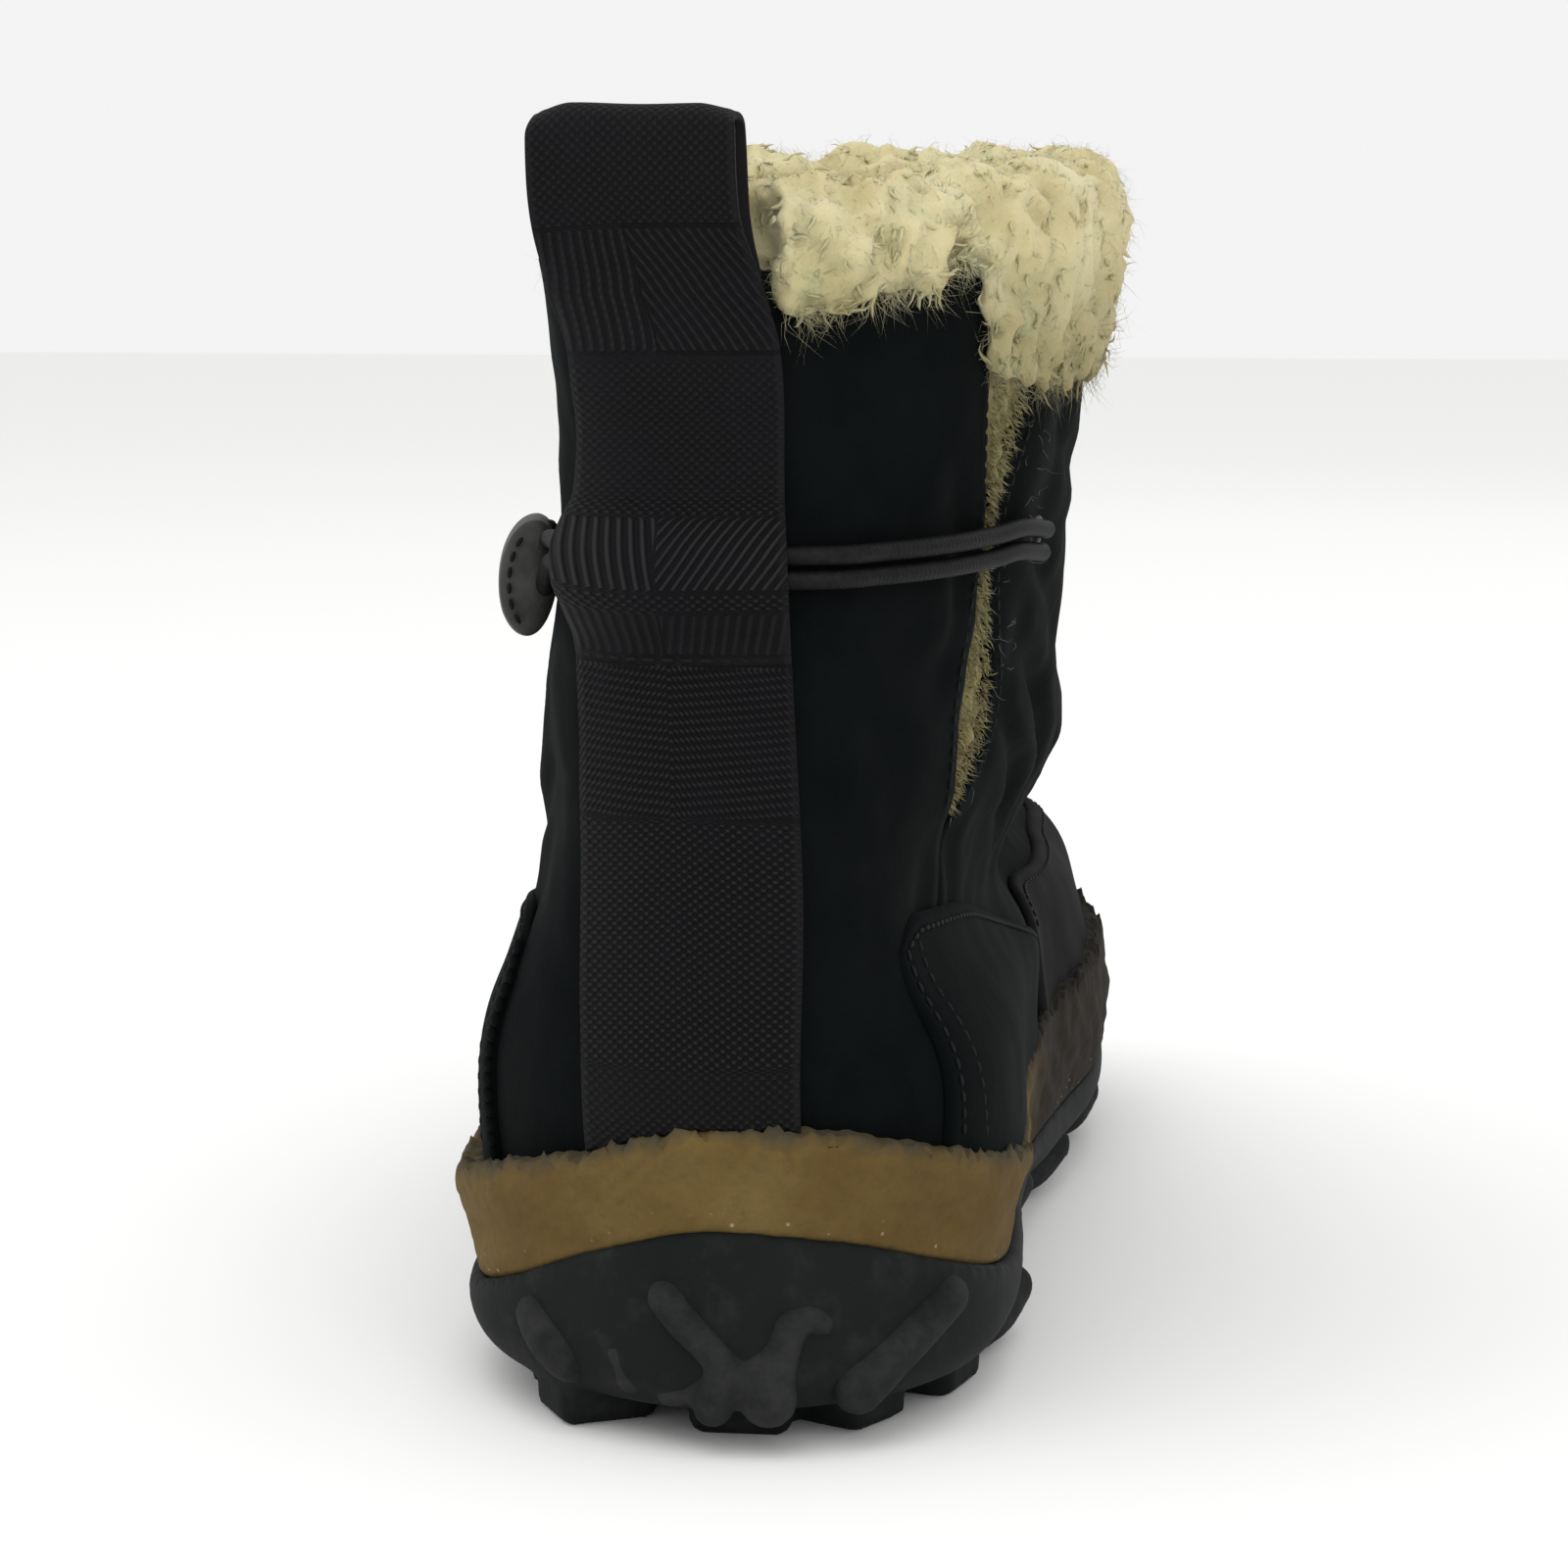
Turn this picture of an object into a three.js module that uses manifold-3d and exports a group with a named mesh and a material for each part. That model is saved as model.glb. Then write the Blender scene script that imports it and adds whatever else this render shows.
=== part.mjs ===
// Winter ankle boot for the left foot, standing on its sole, in millimetres.
// X points to the inner side of the foot, Y to the toe and Z up. The origin is on the ground
// under the middle of the heel; the tables below measure along the foot from the heel's back edge.

import * as THREE from 'three';
import { mergeVertices } from 'three/addons/utils/BufferGeometryUtils.js';
import Module from 'manifold-3d';

const wasm = await Module();
wasm.setup();

// Driving sizes
const LENGTH = 272;
const BALL_WIDTH = 96;
const WALL = 2.2;
const GAP = 0.3;
const HEEL_CENTRE = 36;

// Plan of the sole at its widest level: place along the foot as a share of the length, and the
// outer and inner half-widths as shares of the ball width.
const PLAN = [
  { along: 0.000, outer: 0.000, inner: 0.000 },
  { along: 0.022, outer: 0.195, inner: 0.190 },
  { along: 0.055, outer: 0.312, inner: 0.295 },
  { along: 0.110, outer: 0.410, inner: 0.370 },
  { along: 0.185, outer: 0.456, inner: 0.393 },
  { along: 0.275, outer: 0.460, inner: 0.379 },
  { along: 0.370, outer: 0.448, inner: 0.356 },
  { along: 0.480, outer: 0.478, inner: 0.360 },
  { along: 0.590, outer: 0.545, inner: 0.384 },
  { along: 0.680, outer: 0.575, inner: 0.406 },
  { along: 0.770, outer: 0.555, inner: 0.398 },
  { along: 0.855, outer: 0.475, inner: 0.355 },
  { along: 0.920, outer: 0.345, inner: 0.295 },
  { along: 0.968, outer: 0.200, inner: 0.195 },
  { along: 1.000, outer: 0.000, inner: 0.000 },
];
const TOE_TIP_X = 4;

// Rings of the upper from its lower edge to the collar. back and front are the ends of the ring on
// the middle line (place along the foot and height), outer and inner its half-widths, backX and
// frontX how far its ends stand to the inner side, foot its share of the sole's plan, taper how much
// narrower it is in front, sag its drop at the sides and ball how far it draws in at the inner ball.
const RINGS = [
  { back: 8.5, backZ: 26, front: 265.5, frontZ: 28, outer: 43, inner: 38, backX: -1, frontX: 4,
    foot: 1, taper: 0, sag: 4.5, ball: 0 },
  { back: 3, backZ: 45, front: 266.5, frontZ: 43, outer: 44, inner: 39, backX: -1, frontX: 4,
    foot: 1, taper: 0, sag: 1.5, ball: 5.6 },
  { back: 4, backZ: 60, front: 255, frontZ: 57, outer: 39, inner: 28.5, backX: -1.5, frontX: 4,
    foot: 0.5, taper: 0.3, sag: 0, ball: 7.6 },
  { back: 7, backZ: 74, front: 233, frontZ: 67, outer: 36.5, inner: 32.5, backX: -2, frontX: 4,
    foot: 0.15, taper: 0.2, sag: 0, ball: 1 },
  { back: 9.5, backZ: 86, front: 198, frontZ: 79, outer: 35.2, inner: 36, backX: -2.5, frontX: 4,
    foot: 0, taper: 0.04, sag: 0, ball: 0 },
  { back: 11.5, backZ: 97, front: 163, frontZ: 93, outer: 33.3, inner: 36, backX: -3, frontX: 5,
    foot: 0, taper: 0, sag: 0, ball: 0 },
  { back: 12, backZ: 108, front: 139, frontZ: 110, outer: 29.5, inner: 35, backX: -3.5, frontX: 6,
    foot: 0, taper: -0.1, sag: 0, ball: 0 },
  { back: 11, backZ: 122, front: 123, frontZ: 126, outer: 26, inner: 35.5, backX: -4.5, frontX: 7,
    foot: 0, taper: -0.15, sag: 0, ball: 0 },
  { back: 9.5, backZ: 138, front: 116, frontZ: 142, outer: 26.5, inner: 36.8, backX: -5.5, frontX: 8,
    foot: 0, taper: -0.15, sag: 0, ball: 0 },
  { back: 8, backZ: 156, front: 115, frontZ: 161, outer: 28, inner: 38.6, backX: -6.5, frontX: 9,
    foot: 0, taper: -0.15, sag: 0, ball: 0 },
];
const RING_FULLNESS = 0.78;
const UPPER_INSET = 3.2;
const SIDE_INSET = { outer: 4.8, inner: 1.9 };
const BALL = { from: 0.42, full: 0.62, ease: 0.8 };

// Interpolation through a table's column, with slopes from the neighbouring rows
function along(rows, at, column, x, levelEnds = false) {
  const last = rows.length - 1;
  let i = 0;
  while (i < last - 1 && x > at(rows[i + 1], i + 1)) i += 1;
  const place = (k) => at(rows[k], k);
  const slope = (k) => {
    if (levelEnds && (k === 0 || k === last)) return 0;
    const a = Math.max(k - 1, 0);
    const b = Math.min(k + 1, last);
    return (rows[b][column] - rows[a][column]) / (place(b) - place(a));
  };
  const span = place(i + 1) - place(i);
  const t = THREE.MathUtils.clamp((x - place(i)) / span, 0, 1);
  const t2 = t * t;
  const t3 = t2 * t;
  return (2 * t3 - 3 * t2 + 1) * rows[i][column] + (t3 - 2 * t2 + t) * span * slope(i)
    + (3 * t2 - 2 * t3) * rows[i + 1][column] + (t3 - t2) * span * slope(i + 1);
}

// Angles run around the plan from the heel's back edge (0) by the inner side to the toe (pi)
const planAngle = (row) => Math.acos(1 - 2 * row.along);
const share = (angle) => (1 - Math.cos(angle)) / 2;

function planWidth(angle) {
  const turn = THREE.MathUtils.euclideanModulo(angle, 2 * Math.PI);
  const inner = turn <= Math.PI;
  const half = inner ? turn : 2 * Math.PI - turn;
  return (inner ? 1 : -1) * BALL_WIDTH * along(PLAN, planAngle, inner ? 'inner' : 'outer', half);
}

function planPoint(angle) {
  return new THREE.Vector2(planWidth(angle) + TOE_TIP_X * share(angle) ** 2, LENGTH * share(angle));
}

// The sole's plan moved inwards by a distance, level at the given height
function solePoint(angle, inset, z) {
  const step = 0.02;
  const run = planPoint(angle + step).sub(planPoint(angle - step)).normalize();
  const p = planPoint(angle);
  return new THREE.Vector3(p.x - run.y * inset, p.y + run.x * inset, z);
}

// A point of the upper's outer face; level runs from 0 at its lower edge to 1 at the collar
function upperPoint(angle, level) {
  const v = level * (RINGS.length - 1);
  const get = (column) => along(RINGS, (row, k) => k, column, v);
  const c = share(angle);
  const side = Math.sin(angle);
  const shaft = Math.sign(side) * Math.abs(side) ** RING_FULLNESS * get(side > 0 ? 'inner' : 'outer')
    * (1 - get('taper') * c);
  const stretch = LENGTH / (LENGTH - 2 * UPPER_INSET);
  const foot = planWidth(angle) / stretch - side * SIDE_INSET[side > 0 ? 'inner' : 'outer'];
  const footShare = get('foot');
  const atBall = THREE.MathUtils.smoothstep(c, BALL.from, BALL.full)
    * (1 - THREE.MathUtils.smoothstep(c, BALL.ease, 1));
  const tuck = side > 0 ? get('ball') * atBall : 0;
  return new THREE.Vector3(
    get('backX') + (get('frontX') - get('backX')) * c + footShare * foot + (1 - footShare) * shaft - tuck,
    get('back') + (get('front') - get('back')) * c,
    get('backZ') + (get('frontZ') - get('backZ')) * c - get('sag') * side * side,
  );
}

function upperNormal(angle, level) {
  const d = 0.004;
  const low = Math.max(level - d, 0);
  const high = Math.min(level + d, 1);
  const across = upperPoint(angle + 0.02, level).sub(upperPoint(angle - 0.02, level));
  const up = upperPoint(angle, high).sub(upperPoint(angle, low));
  const normal = across.cross(up);
  if (level === 0) normal.z = 0;
  return normal.normalize();
}

function upperOffset(angle, level, distance) {
  return upperPoint(angle, level).addScaledVector(upperNormal(angle, level), distance);
}

// Closed body from a stack of rings with the same number of points; the ends are capped by strips
// that run from each point to the one across from it
function loft(rings, closed = false) {
  const count = rings[0].length;
  const position = rings.flat().flatMap((p) => [p.x, p.y, p.z]);
  const index = [];
  const rows = closed ? rings.length : rings.length - 1;
  for (let j = 0; j < rows; j += 1) {
    const low = j * count;
    const high = ((j + 1) % rings.length) * count;
    for (let i = 0; i < count; i += 1) {
      const k = (i + 1) % count;
      index.push(low + i, low + k, high + k, low + i, high + k, high + i);
    }
  }
  const cap = (start, flip) => {
    const add = (a, b, c) => index.push(start + a, start + (flip ? c : b), start + (flip ? b : c));
    for (let i = 0; i < count / 2; i += 1) {
      const far = (count - i) % count;
      if (i > 0) add(i, far, i + 1);
      if (i < count / 2 - 1) add(far, count - i - 1, i + 1);
    }
  };
  if (!closed) {
    cap(0, false);
    cap((rings.length - 1) * count, true);
  }
  const geometry = new THREE.BufferGeometry();
  geometry.setAttribute('position', new THREE.Float32BufferAttribute(position, 3));
  geometry.setIndex(index);
  return geometry;
}

const AROUND = 48;
const angles = Array.from({ length: AROUND }, (_, i) => (2 * Math.PI * i) / AROUND);
const ring = (point) => angles.map(point);

function solid(geometry) {
  const bare = geometry.clone();
  bare.deleteAttribute('normal');
  bare.deleteAttribute('uv');
  const merged = mergeVertices(bare, 1e-4);
  return new wasm.Manifold(new wasm.Mesh({
    numProp: 3,
    vertProperties: new Float32Array(merged.attributes.position.array),
    triVerts: new Uint32Array(merged.index.array),
  }));
}

// The same surface with its faces turned over
function turned(geometry) {
  const flipped = geometry.index ? geometry.clone() : mergeVertices(geometry);
  const index = flipped.index.array;
  for (let i = 0; i < index.length; i += 3) [index[i], index[i + 1]] = [index[i + 1], index[i]];
  return flipped;
}

function geometryOf(body) {
  const mesh = body.getMesh();
  const geometry = new THREE.BufferGeometry();
  geometry.setAttribute('position', new THREE.BufferAttribute(mesh.vertProperties, 3));
  geometry.setIndex(new THREE.BufferAttribute(mesh.triVerts, 1));
  return geometry;
}

// Level at which the upper reaches a height, on the line that runs up it at this angle
function levelAt(angle, z) {
  let low = 0;
  let high = 1;
  for (let i = 0; i < 24; i += 1) {
    const mid = (low + high) / 2;
    if (upperPoint(angle, mid).z < z) low = mid;
    else high = mid;
  }
  return (low + high) / 2;
}

// Angle at which the upper stands at a place along the foot, on its inner (1) or outer (-1) side
function angleAt(side, place, z) {
  let low = 0;
  let high = Math.PI;
  for (let i = 0; i < 24; i += 1) {
    const mid = (low + high) / 2;
    if (upperPoint(side * mid, levelAt(side * mid, z)).y < place) low = mid;
    else high = mid;
  }
  return side * ((low + high) / 2);
}

// Closed panel on the upper: place(u, v) gives an angle and a level, and the panel lies between
// two distances from the upper's outer face
function panel(across, up, place, near, far) {
  const point = (i, j, distance) => {
    const { angle, level } = place(i / across, j / up);
    return upperOffset(angle, level, distance);
  };
  const rings = [];
  for (let j = 0; j <= up; j += 1) {
    const row = [];
    for (let i = 0; i <= across; i += 1) row.push(point(i, j, far));
    for (let i = across; i >= 0; i -= 1) row.push(point(i, j, near));
    rings.push(row);
  }
  return stripLoft(rings, across + 1);
}

// Closed body from rings whose two halves of equal length lie over each other
function stripLoft(rings, half) {
  const count = 2 * half;
  const index = [];
  for (let j = 0; j < rings.length - 1; j += 1) {
    for (let i = 0; i < count; i += 1) {
      const k = (i + 1) % count;
      const low = j * count;
      index.push(low + i, low + k, low + count + k, low + i, low + count + k, low + count + i);
    }
  }
  const top = (rings.length - 1) * count;
  for (let i = 0; i < half - 1; i += 1) {
    const across = count - 1 - i;
    index.push(across, i + 1, i, across, across - 1, i + 1);
    index.push(top + across, top + i, top + i + 1, top + across, top + i + 1, top + across - 1);
  }
  const geometry = new THREE.BufferGeometry();
  const position = rings.flat().flatMap((p) => [p.x, p.y, p.z]);
  geometry.setAttribute('position', new THREE.Float32BufferAttribute(position, 3));
  geometry.setIndex(index);
  return geometry;
}

// Slit on the inner side: at each height the places along the foot of its rear and front edges
const SLIT = [
  { z: 79, rear: 44.2, front: 45.8 },
  { z: 84, rear: 43.2, front: 47.5 },
  { z: 90, rear: 42.2, front: 52.0 },
  { z: 97, rear: 41.4, front: 53.0 },
  { z: 106, rear: 42.4, front: 49.0 },
  { z: 114, rear: 42.6, front: 45.4 },
  { z: 123, rear: 41.8, front: 44.0 },
  { z: 131, rear: 40.2, front: 47.0 },
  { z: 140, rear: 38.5, front: 51.5 },
  { z: 162, rear: 34.0, front: 61.5 },
];

function slitPlace(u, v) {
  const z = THREE.MathUtils.lerp(SLIT[0].z, SLIT.at(-1).z, v);
  const at = (column) => along(SLIT, (row) => row.z, column, z);
  const place = THREE.MathUtils.lerp(at('rear'), at('front'), u);
  const angle = angleAt(1, place, Math.min(z, COLLAR_LOW));
  return { angle, z };
}

const COLLAR_LOW = 155;
const CUT_REACH = 4;

// A point off the upper at a height, carried straight up above the collar's edge
function heightPoint(angle, z, distance) {
  const point = upperOffset(angle, levelAt(angle, Math.min(z, COLLAR_LOW)), distance);
  point.z += Math.max(z - COLLAR_LOW, 0);
  return point;
}

function slitCutter() {
  const rows = 18;
  const rings = [];
  for (let j = 0; j <= rows; j += 1) {
    const low = slitPlace(0, j / rows);
    const high = slitPlace(1, j / rows);
    rings.push([
      heightPoint(low.angle, low.z, CUT_REACH),
      heightPoint(high.angle, high.z, CUT_REACH),
      heightPoint(high.angle, high.z, -WALL - CUT_REACH),
      heightPoint(low.angle, low.z, -WALL - CUT_REACH),
    ]);
  }
  return stripLoft(rings, 2);
}

const UPPER_ROWS = 16;

// Filled form of the upper's lowest rows, larger by a gap all around and below
function upperForm(gap, rows) {
  const rings = [ring((a) => upperOffset(a, 0, gap).setZ(upperPoint(a, 0).z - gap))];
  for (let j = 1; j <= rows; j += 1) rings.push(ring((a) => upperOffset(a, j / UPPER_ROWS, gap)));
  return loft(rings);
}

// The upper's wall near the collar, larger by a gap on both faces and over its edge
function collarWall(gap) {
  const high = (offset) => ring((a) => {
    const point = upperOffset(a, 1, offset);
    point.z += gap;
    return point;
  });
  const rows = [
    ...[10, 12, 13, 14, 15].map((j) => ring((a) => upperOffset(a, j / UPPER_ROWS, gap))),
    high(gap),
    high(-WALL - gap),
    ...[14, 12, 10].map((j) => ring((a) => upperOffset(a, j / UPPER_ROWS, -WALL - gap))),
  ];
  return solid(loft(rows, true));
}

function upperGeometry() {
  const outside = UPPER_ROWS;
  const inside = UPPER_ROWS / 2;
  const rings = [];
  for (let j = 0; j <= outside; j += 1) {
    rings.push(ring((a) => upperPoint(a, j / outside)));
  }
  for (let j = inside; j >= 0; j -= 1) {
    rings.push(ring((a) => upperOffset(a, j / inside, -WALL)));
  }
  return geometryOf(solid(loft(rings, true)).subtract(solid(slitCutter())));
}

// Side of the sole: heights of the seam between outsole and midsole and of the midsole's rim
const SIDE = [
  { along: 0.00, outerSeam: 29, innerSeam: 29, outerRim: 44.5, innerRim: 44.5 },
  { along: 0.02, outerSeam: 25, innerSeam: 27, outerRim: 40, innerRim: 43 },
  { along: 0.06, outerSeam: 19, innerSeam: 23, outerRim: 35.5, innerRim: 39.5 },
  { along: 0.12, outerSeam: 14.5, innerSeam: 18.5, outerRim: 31.5, innerRim: 35 },
  { along: 0.20, outerSeam: 13.5, innerSeam: 15, outerRim: 31, innerRim: 32 },
  { along: 0.35, outerSeam: 14, innerSeam: 14.5, outerRim: 31.5, innerRim: 31.5 },
  { along: 0.50, outerSeam: 15, innerSeam: 15.5, outerRim: 34, innerRim: 34 },
  { along: 0.68, outerSeam: 16, innerSeam: 16, outerRim: 36, innerRim: 36 },
  { along: 0.85, outerSeam: 19, innerSeam: 19, outerRim: 38, innerRim: 38 },
  { along: 1.00, outerSeam: 25, innerSeam: 25, outerRim: 42, innerRim: 42 },
];

function side(angle, name) {
  const inner = Math.sin(angle) >= 0;
  const half = Math.acos(Math.cos(angle));
  return along(SIDE, planAngle, `${inner ? 'inner' : 'outer'}${name}`, half, true);
}

// Ground line under the sole: flat under heel and forefoot, arched between, sprung at the toe
const HEEL_BREAST = 78;
const TREAD_START = 148;
const SPRING_START = 205;
const ARCH_RISE = 4.5;
const TOE_SPRING = 9;
const LUG = 4.5;
const OUTSOLE_FLOOR = 8.8;

function ground(place) {
  if (place > SPRING_START) return TOE_SPRING * ((place - SPRING_START) / (LENGTH - SPRING_START)) ** 1.8;
  if (place < HEEL_BREAST || place > TREAD_START) return 0;
  const t = (place - HEEL_BREAST) / (TREAD_START - HEEL_BREAST);
  return ARCH_RISE * Math.sin(Math.PI * t) ** 2;
}

// A point of the sole's side: row gives how far it stands in from the plan at the heel and at the
// forefoot, and its height from the ground line under it
function soleAt(angle, row, larger = 0) {
  const forward = THREE.MathUtils.smoothstep(share(angle), 0.25, 0.6);
  const inset = THREE.MathUtils.lerp(row.heel, row.fore, forward);
  return solePoint(angle, inset - larger, row.height(angle, ground(planPoint(angle).y)));
}

// Outer form of the midsole from the outsole's floor to the rim, larger by a gap where asked
function midsoleBlock(gap) {
  const seam = (a) => side(a, 'Seam') + GAP - gap;
  const upSide = (a, part) => THREE.MathUtils.lerp(seam(a), side(a, 'Rim'), part);
  const rows = [
    { heel: 6.8, fore: 5.0, height: (a, g) => g + OUTSOLE_FLOOR + GAP - gap },
    { heel: 5.7, fore: 3.9, height: seam },
    { heel: 3.4, fore: 1.7, height: seam },
    { heel: 2.0, fore: 1.2, height: (a) => upSide(a, 0.4) },
    { heel: 0.4, fore: 1.6, height: (a) => upSide(a, 0.8) },
    { heel: 0.6, fore: 2.2, height: (a) => upSide(a, 1) },
  ];
  return solid(loft(rows.map((row) => ring((a) => soleAt(a, row, gap)))));
}

function midsoleGeometry() {
  return geometryOf(midsoleBlock(0).subtract(solid(upperForm(GAP, 4))));
}

// The outsole's plain form: its tread, rounded edge and side up to the seam
function outsoleBlock() {
  const rows = [
    { heel: 13, fore: 16, height: (a, g) => g + LUG },
    { heel: 6.2, fore: 8.5, height: (a, g) => g + LUG + 0.6 },
    { heel: 2.8, fore: 4.8, height: (a, g) => g + LUG + 3.2 },
    { heel: 1.3, fore: 2.0, height: (a, g) => Math.min(g + LUG + 7, side(a, 'Seam') - 2) },
    { heel: 1.7, fore: 1.9, height: (a) => side(a, 'Seam') + 0.5 },
  ];
  return solid(loft(rows.map((row) => ring((a) => soleAt(a, row)))));
}

const INSOLE = 3;
const INSOLE_CLEAR = 1.7;

function insoleGeometry() {
  const rows = [0, INSOLE];
  const shape = (lift) => ring((a) => {
    const point = upperOffset(a, 0, -WALL - INSOLE_CLEAR);
    point.z = upperPoint(a, 0).z + lift;
    return point;
  });
  return loft(rows.map(shape));
}

// Tread under the sole: chevron blocks in rows (place along the foot, across it, width, length, turn)
const HEEL_BLOCKS = [
  { place: 21, across: -19, width: 14, length: 13, turn: 0.5 },
  { place: 17, across: 2, width: 14, length: 11, turn: 0 },
  { place: 22, across: 16, width: 11, length: 12, turn: -0.5 },
  { place: 40, across: -25, width: 14, length: 14, turn: 0.25 },
  { place: 38, across: 0, width: 15, length: 15, turn: 0.79 },
  { place: 41, across: 24, width: 13, length: 14, turn: -0.25 },
  { place: 61, across: -24, width: 14, length: 14, turn: 0 },
  { place: 60, across: 0, width: 14, length: 14, turn: 0.79 },
  { place: 61, across: 22, width: 12, length: 14, turn: 0 },
];
const FORE_ROWS = {
  first: 156, last: 244, pitch: 22, across: 26, edge: 18.5, width: 15, length: 13, skew: 0.5, drop: 5,
};

const BLOCK_ROOT = 1.5;

function block(place, across, width, length, turn) {
  const height = LUG + BLOCK_ROOT;
  const box = new THREE.BoxGeometry(width, length, height);
  box.rotateZ(turn);
  box.translate(across, place, ground(place) + height / 2);
  return solid(box);
}

function forefootBlocks() {
  const blocks = [];
  const { first, last, pitch, across, edge, width, length, skew, drop } = FORE_ROWS;
  for (let place = first; place <= last; place += pitch) {
    const fromHeel = Math.acos(1 - (2 * place) / LENGTH);
    const low = planPoint(-fromHeel).x + edge;
    const high = planPoint(fromHeel).x - edge;
    const count = Math.max(2, Math.round((high - low) / across) + 1);
    for (let k = 0; k < count; k += 1) {
      const x = THREE.MathUtils.lerp(low, high, k / (count - 1));
      const turn = skew * (1 - (2 * k) / (count - 1));
      blocks.push(block(place - drop * Math.abs(turn), x, width, length, turn));
    }
  }
  return blocks;
}

// Rounded bar laid over the outsole's edge: a chain of points in the plan's angle, and for each the
// share of the way from the tread (0) over the rounded edge (1) up the side (2)
const EDGE = [
  { at: 0, heel: 8.5, fore: 12, rise: 3.9 },
  { at: 0.5, heel: 5.4, fore: 7.6, rise: 4.8 },
  { at: 1, heel: 3.0, fore: 5.4, rise: 7.6 },
  { at: 1.5, heel: 2.0, fore: 4.4, rise: 12 },
  { at: 2, heel: 2.0, fore: 4.4, rise: 17.5 },
];

function edgePoint(angle, at) {
  const get = (column) => along(EDGE, (row) => row.at, column, at);
  return soleAt(angle, { heel: get('heel'), fore: get('fore'), height: (a, g) => g + get('rise') });
}

const BAR = { sides: 5, steps: 3, end: 0.55 };

function bar(ends, radius) {
  const curve = new THREE.CatmullRomCurve3(ends.map(([angle, at]) => edgePoint(angle, at)));
  const { sides, steps, end } = BAR;
  const rings = [];
  for (let j = 0; j <= steps; j += 1) {
    const t = j / steps;
    const centre = curve.getPoint(t);
    const run = curve.getTangent(t);
    const u = new THREE.Vector3(0, 0, 1).cross(run).normalize();
    const v = run.clone().cross(u);
    const r = radius * (j === 0 || j === steps ? end : 1);
    rings.push(Array.from({ length: sides }, (_, i) => {
      const turn = (2 * Math.PI * i) / sides;
      return centre.clone().addScaledVector(u, r * Math.cos(turn)).addScaledVector(v, r * Math.sin(turn));
    }));
  }
  return solid(fanLoft(rings));
}

// Closed tube from rings, with a point in the middle of each end
function fanLoft(rings) {
  const count = rings[0].length;
  const middle = (points) => points.reduce((sum, p) => sum.add(p), new THREE.Vector3())
    .divideScalar(points.length);
  const points = [...rings.flat(), middle(rings[0]), middle(rings.at(-1))];
  const index = [];
  for (let i = 0; i < count; i += 1) {
    const k = (i + 1) % count;
    for (let j = 0; j < rings.length - 1; j += 1) {
      const low = j * count;
      index.push(low + i, low + k, low + count + k, low + i, low + count + k, low + count + i);
    }
    const top = (rings.length - 1) * count;
    index.push(points.length - 2, k, i, points.length - 1, top + i, top + k);
  }
  const geometry = new THREE.BufferGeometry();
  geometry.setAttribute('position', new THREE.Float32BufferAttribute(points.flatMap((p) => p.toArray()), 3));
  geometry.setIndex(index);
  return geometry;
}

// Finger lugs on the heel's edge, as seen from behind: angle and height share at both ends
const HEEL_BARS = [
  { ends: [[-0.6, 1.25], [-0.5, 0.9], [-0.4, 0.4]], radius: 3.6 },
  { ends: [[-0.2, 1.9], [-0.13, 1.3], [-0.06, 0.9], [-0.12, 0.2]], radius: 2.9 },
  { ends: [[0.18, 1.6], [0.13, 1.1], [0.1, 0.3]], radius: 3.1 },
  { ends: [[0.66, 1.35], [0.5, 1.15], [0.34, 0.8], [0.26, 0.2]], radius: 4.0 },
];
const SIDE_BARS = { first: 1.0, last: 2.8, count: 6, lean: 0.05, radius: 3, high: 0.85, low: 0.05 };

function edgeBars() {
  const bars = HEEL_BARS.map((row) => bar(row.ends, row.radius));
  const { first, last, count, lean, radius, high, low } = SIDE_BARS;
  for (const hand of [-1, 1]) {
    for (let k = 0; k < count; k += 1) {
      const angle = THREE.MathUtils.lerp(first, last, k / (count - 1));
      const ends = [[hand * (angle + lean), high], [hand * angle, 0.5], [hand * (angle - lean), low]];
      bars.push(bar(ends, radius));
    }
  }
  return bars;
}

function treadedOutsole() {
  const heel = HEEL_BLOCKS.map((row) => block(row.place, row.across, row.width, row.length, row.turn));
  const pieces = [...heel, ...forefootBlocks(), ...edgeBars()];
  const whole = pieces.reduce((sum, piece) => sum.add(piece), outsoleBlock());
  return geometryOf(whole.subtract(midsoleBlock(GAP)));
}

// Overlays: sheets cut between two forms of the upper, from just above the rim to an upper edge
const OVERLAY = 1.1;
const FORM_ROWS = 7;
const CUTTER = { near: -2, far: 6 };

function overlay(cutter, thickness) {
  const sheet = solid(upperForm(GAP + thickness, FORM_ROWS)).subtract(solid(upperForm(GAP, FORM_ROWS)));
  return geometryOf(sheet.intersect(solid(cutter)));
}

// Side overlays: places along the foot and the height of the upper edge there
const OUTER_FOXING = [
  { place: 29.5, top: 69 },
  { place: 60, top: 67 },
  { place: 95, top: 61 },
  { place: 128, top: 54 },
];
const INNER_FOXING = [
  { place: 33, top: 70 },
  { place: 60, top: 66 },
  { place: 95, top: 58 },
  { place: 124, top: 51 },
];
const FOXING_CORNER = 7;
const FOXING_FOOT = 40;

function foxingGeometry(rows, hand) {
  const place = (u, v) => {
    const forward = hand > 0 ? u : 1 - u;
    const where = THREE.MathUtils.lerp(rows[0].place, rows.at(-1).place, forward);
    const top = along(rows, (row) => row.place, 'top', where);
    const angle = angleAt(hand, where, (top + FOXING_FOOT) / 2);
    const low = side(angle, 'Rim') + 2 * GAP;
    const corner = FOXING_CORNER * Math.max(0, 1 - 10 * forward) ** 2;
    return { angle, level: levelAt(angle, THREE.MathUtils.lerp(low, top - corner, v)) };
  };
  return overlay(panel(8, 2, place, CUTTER.near, CUTTER.far), OVERLAY);
}

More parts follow.
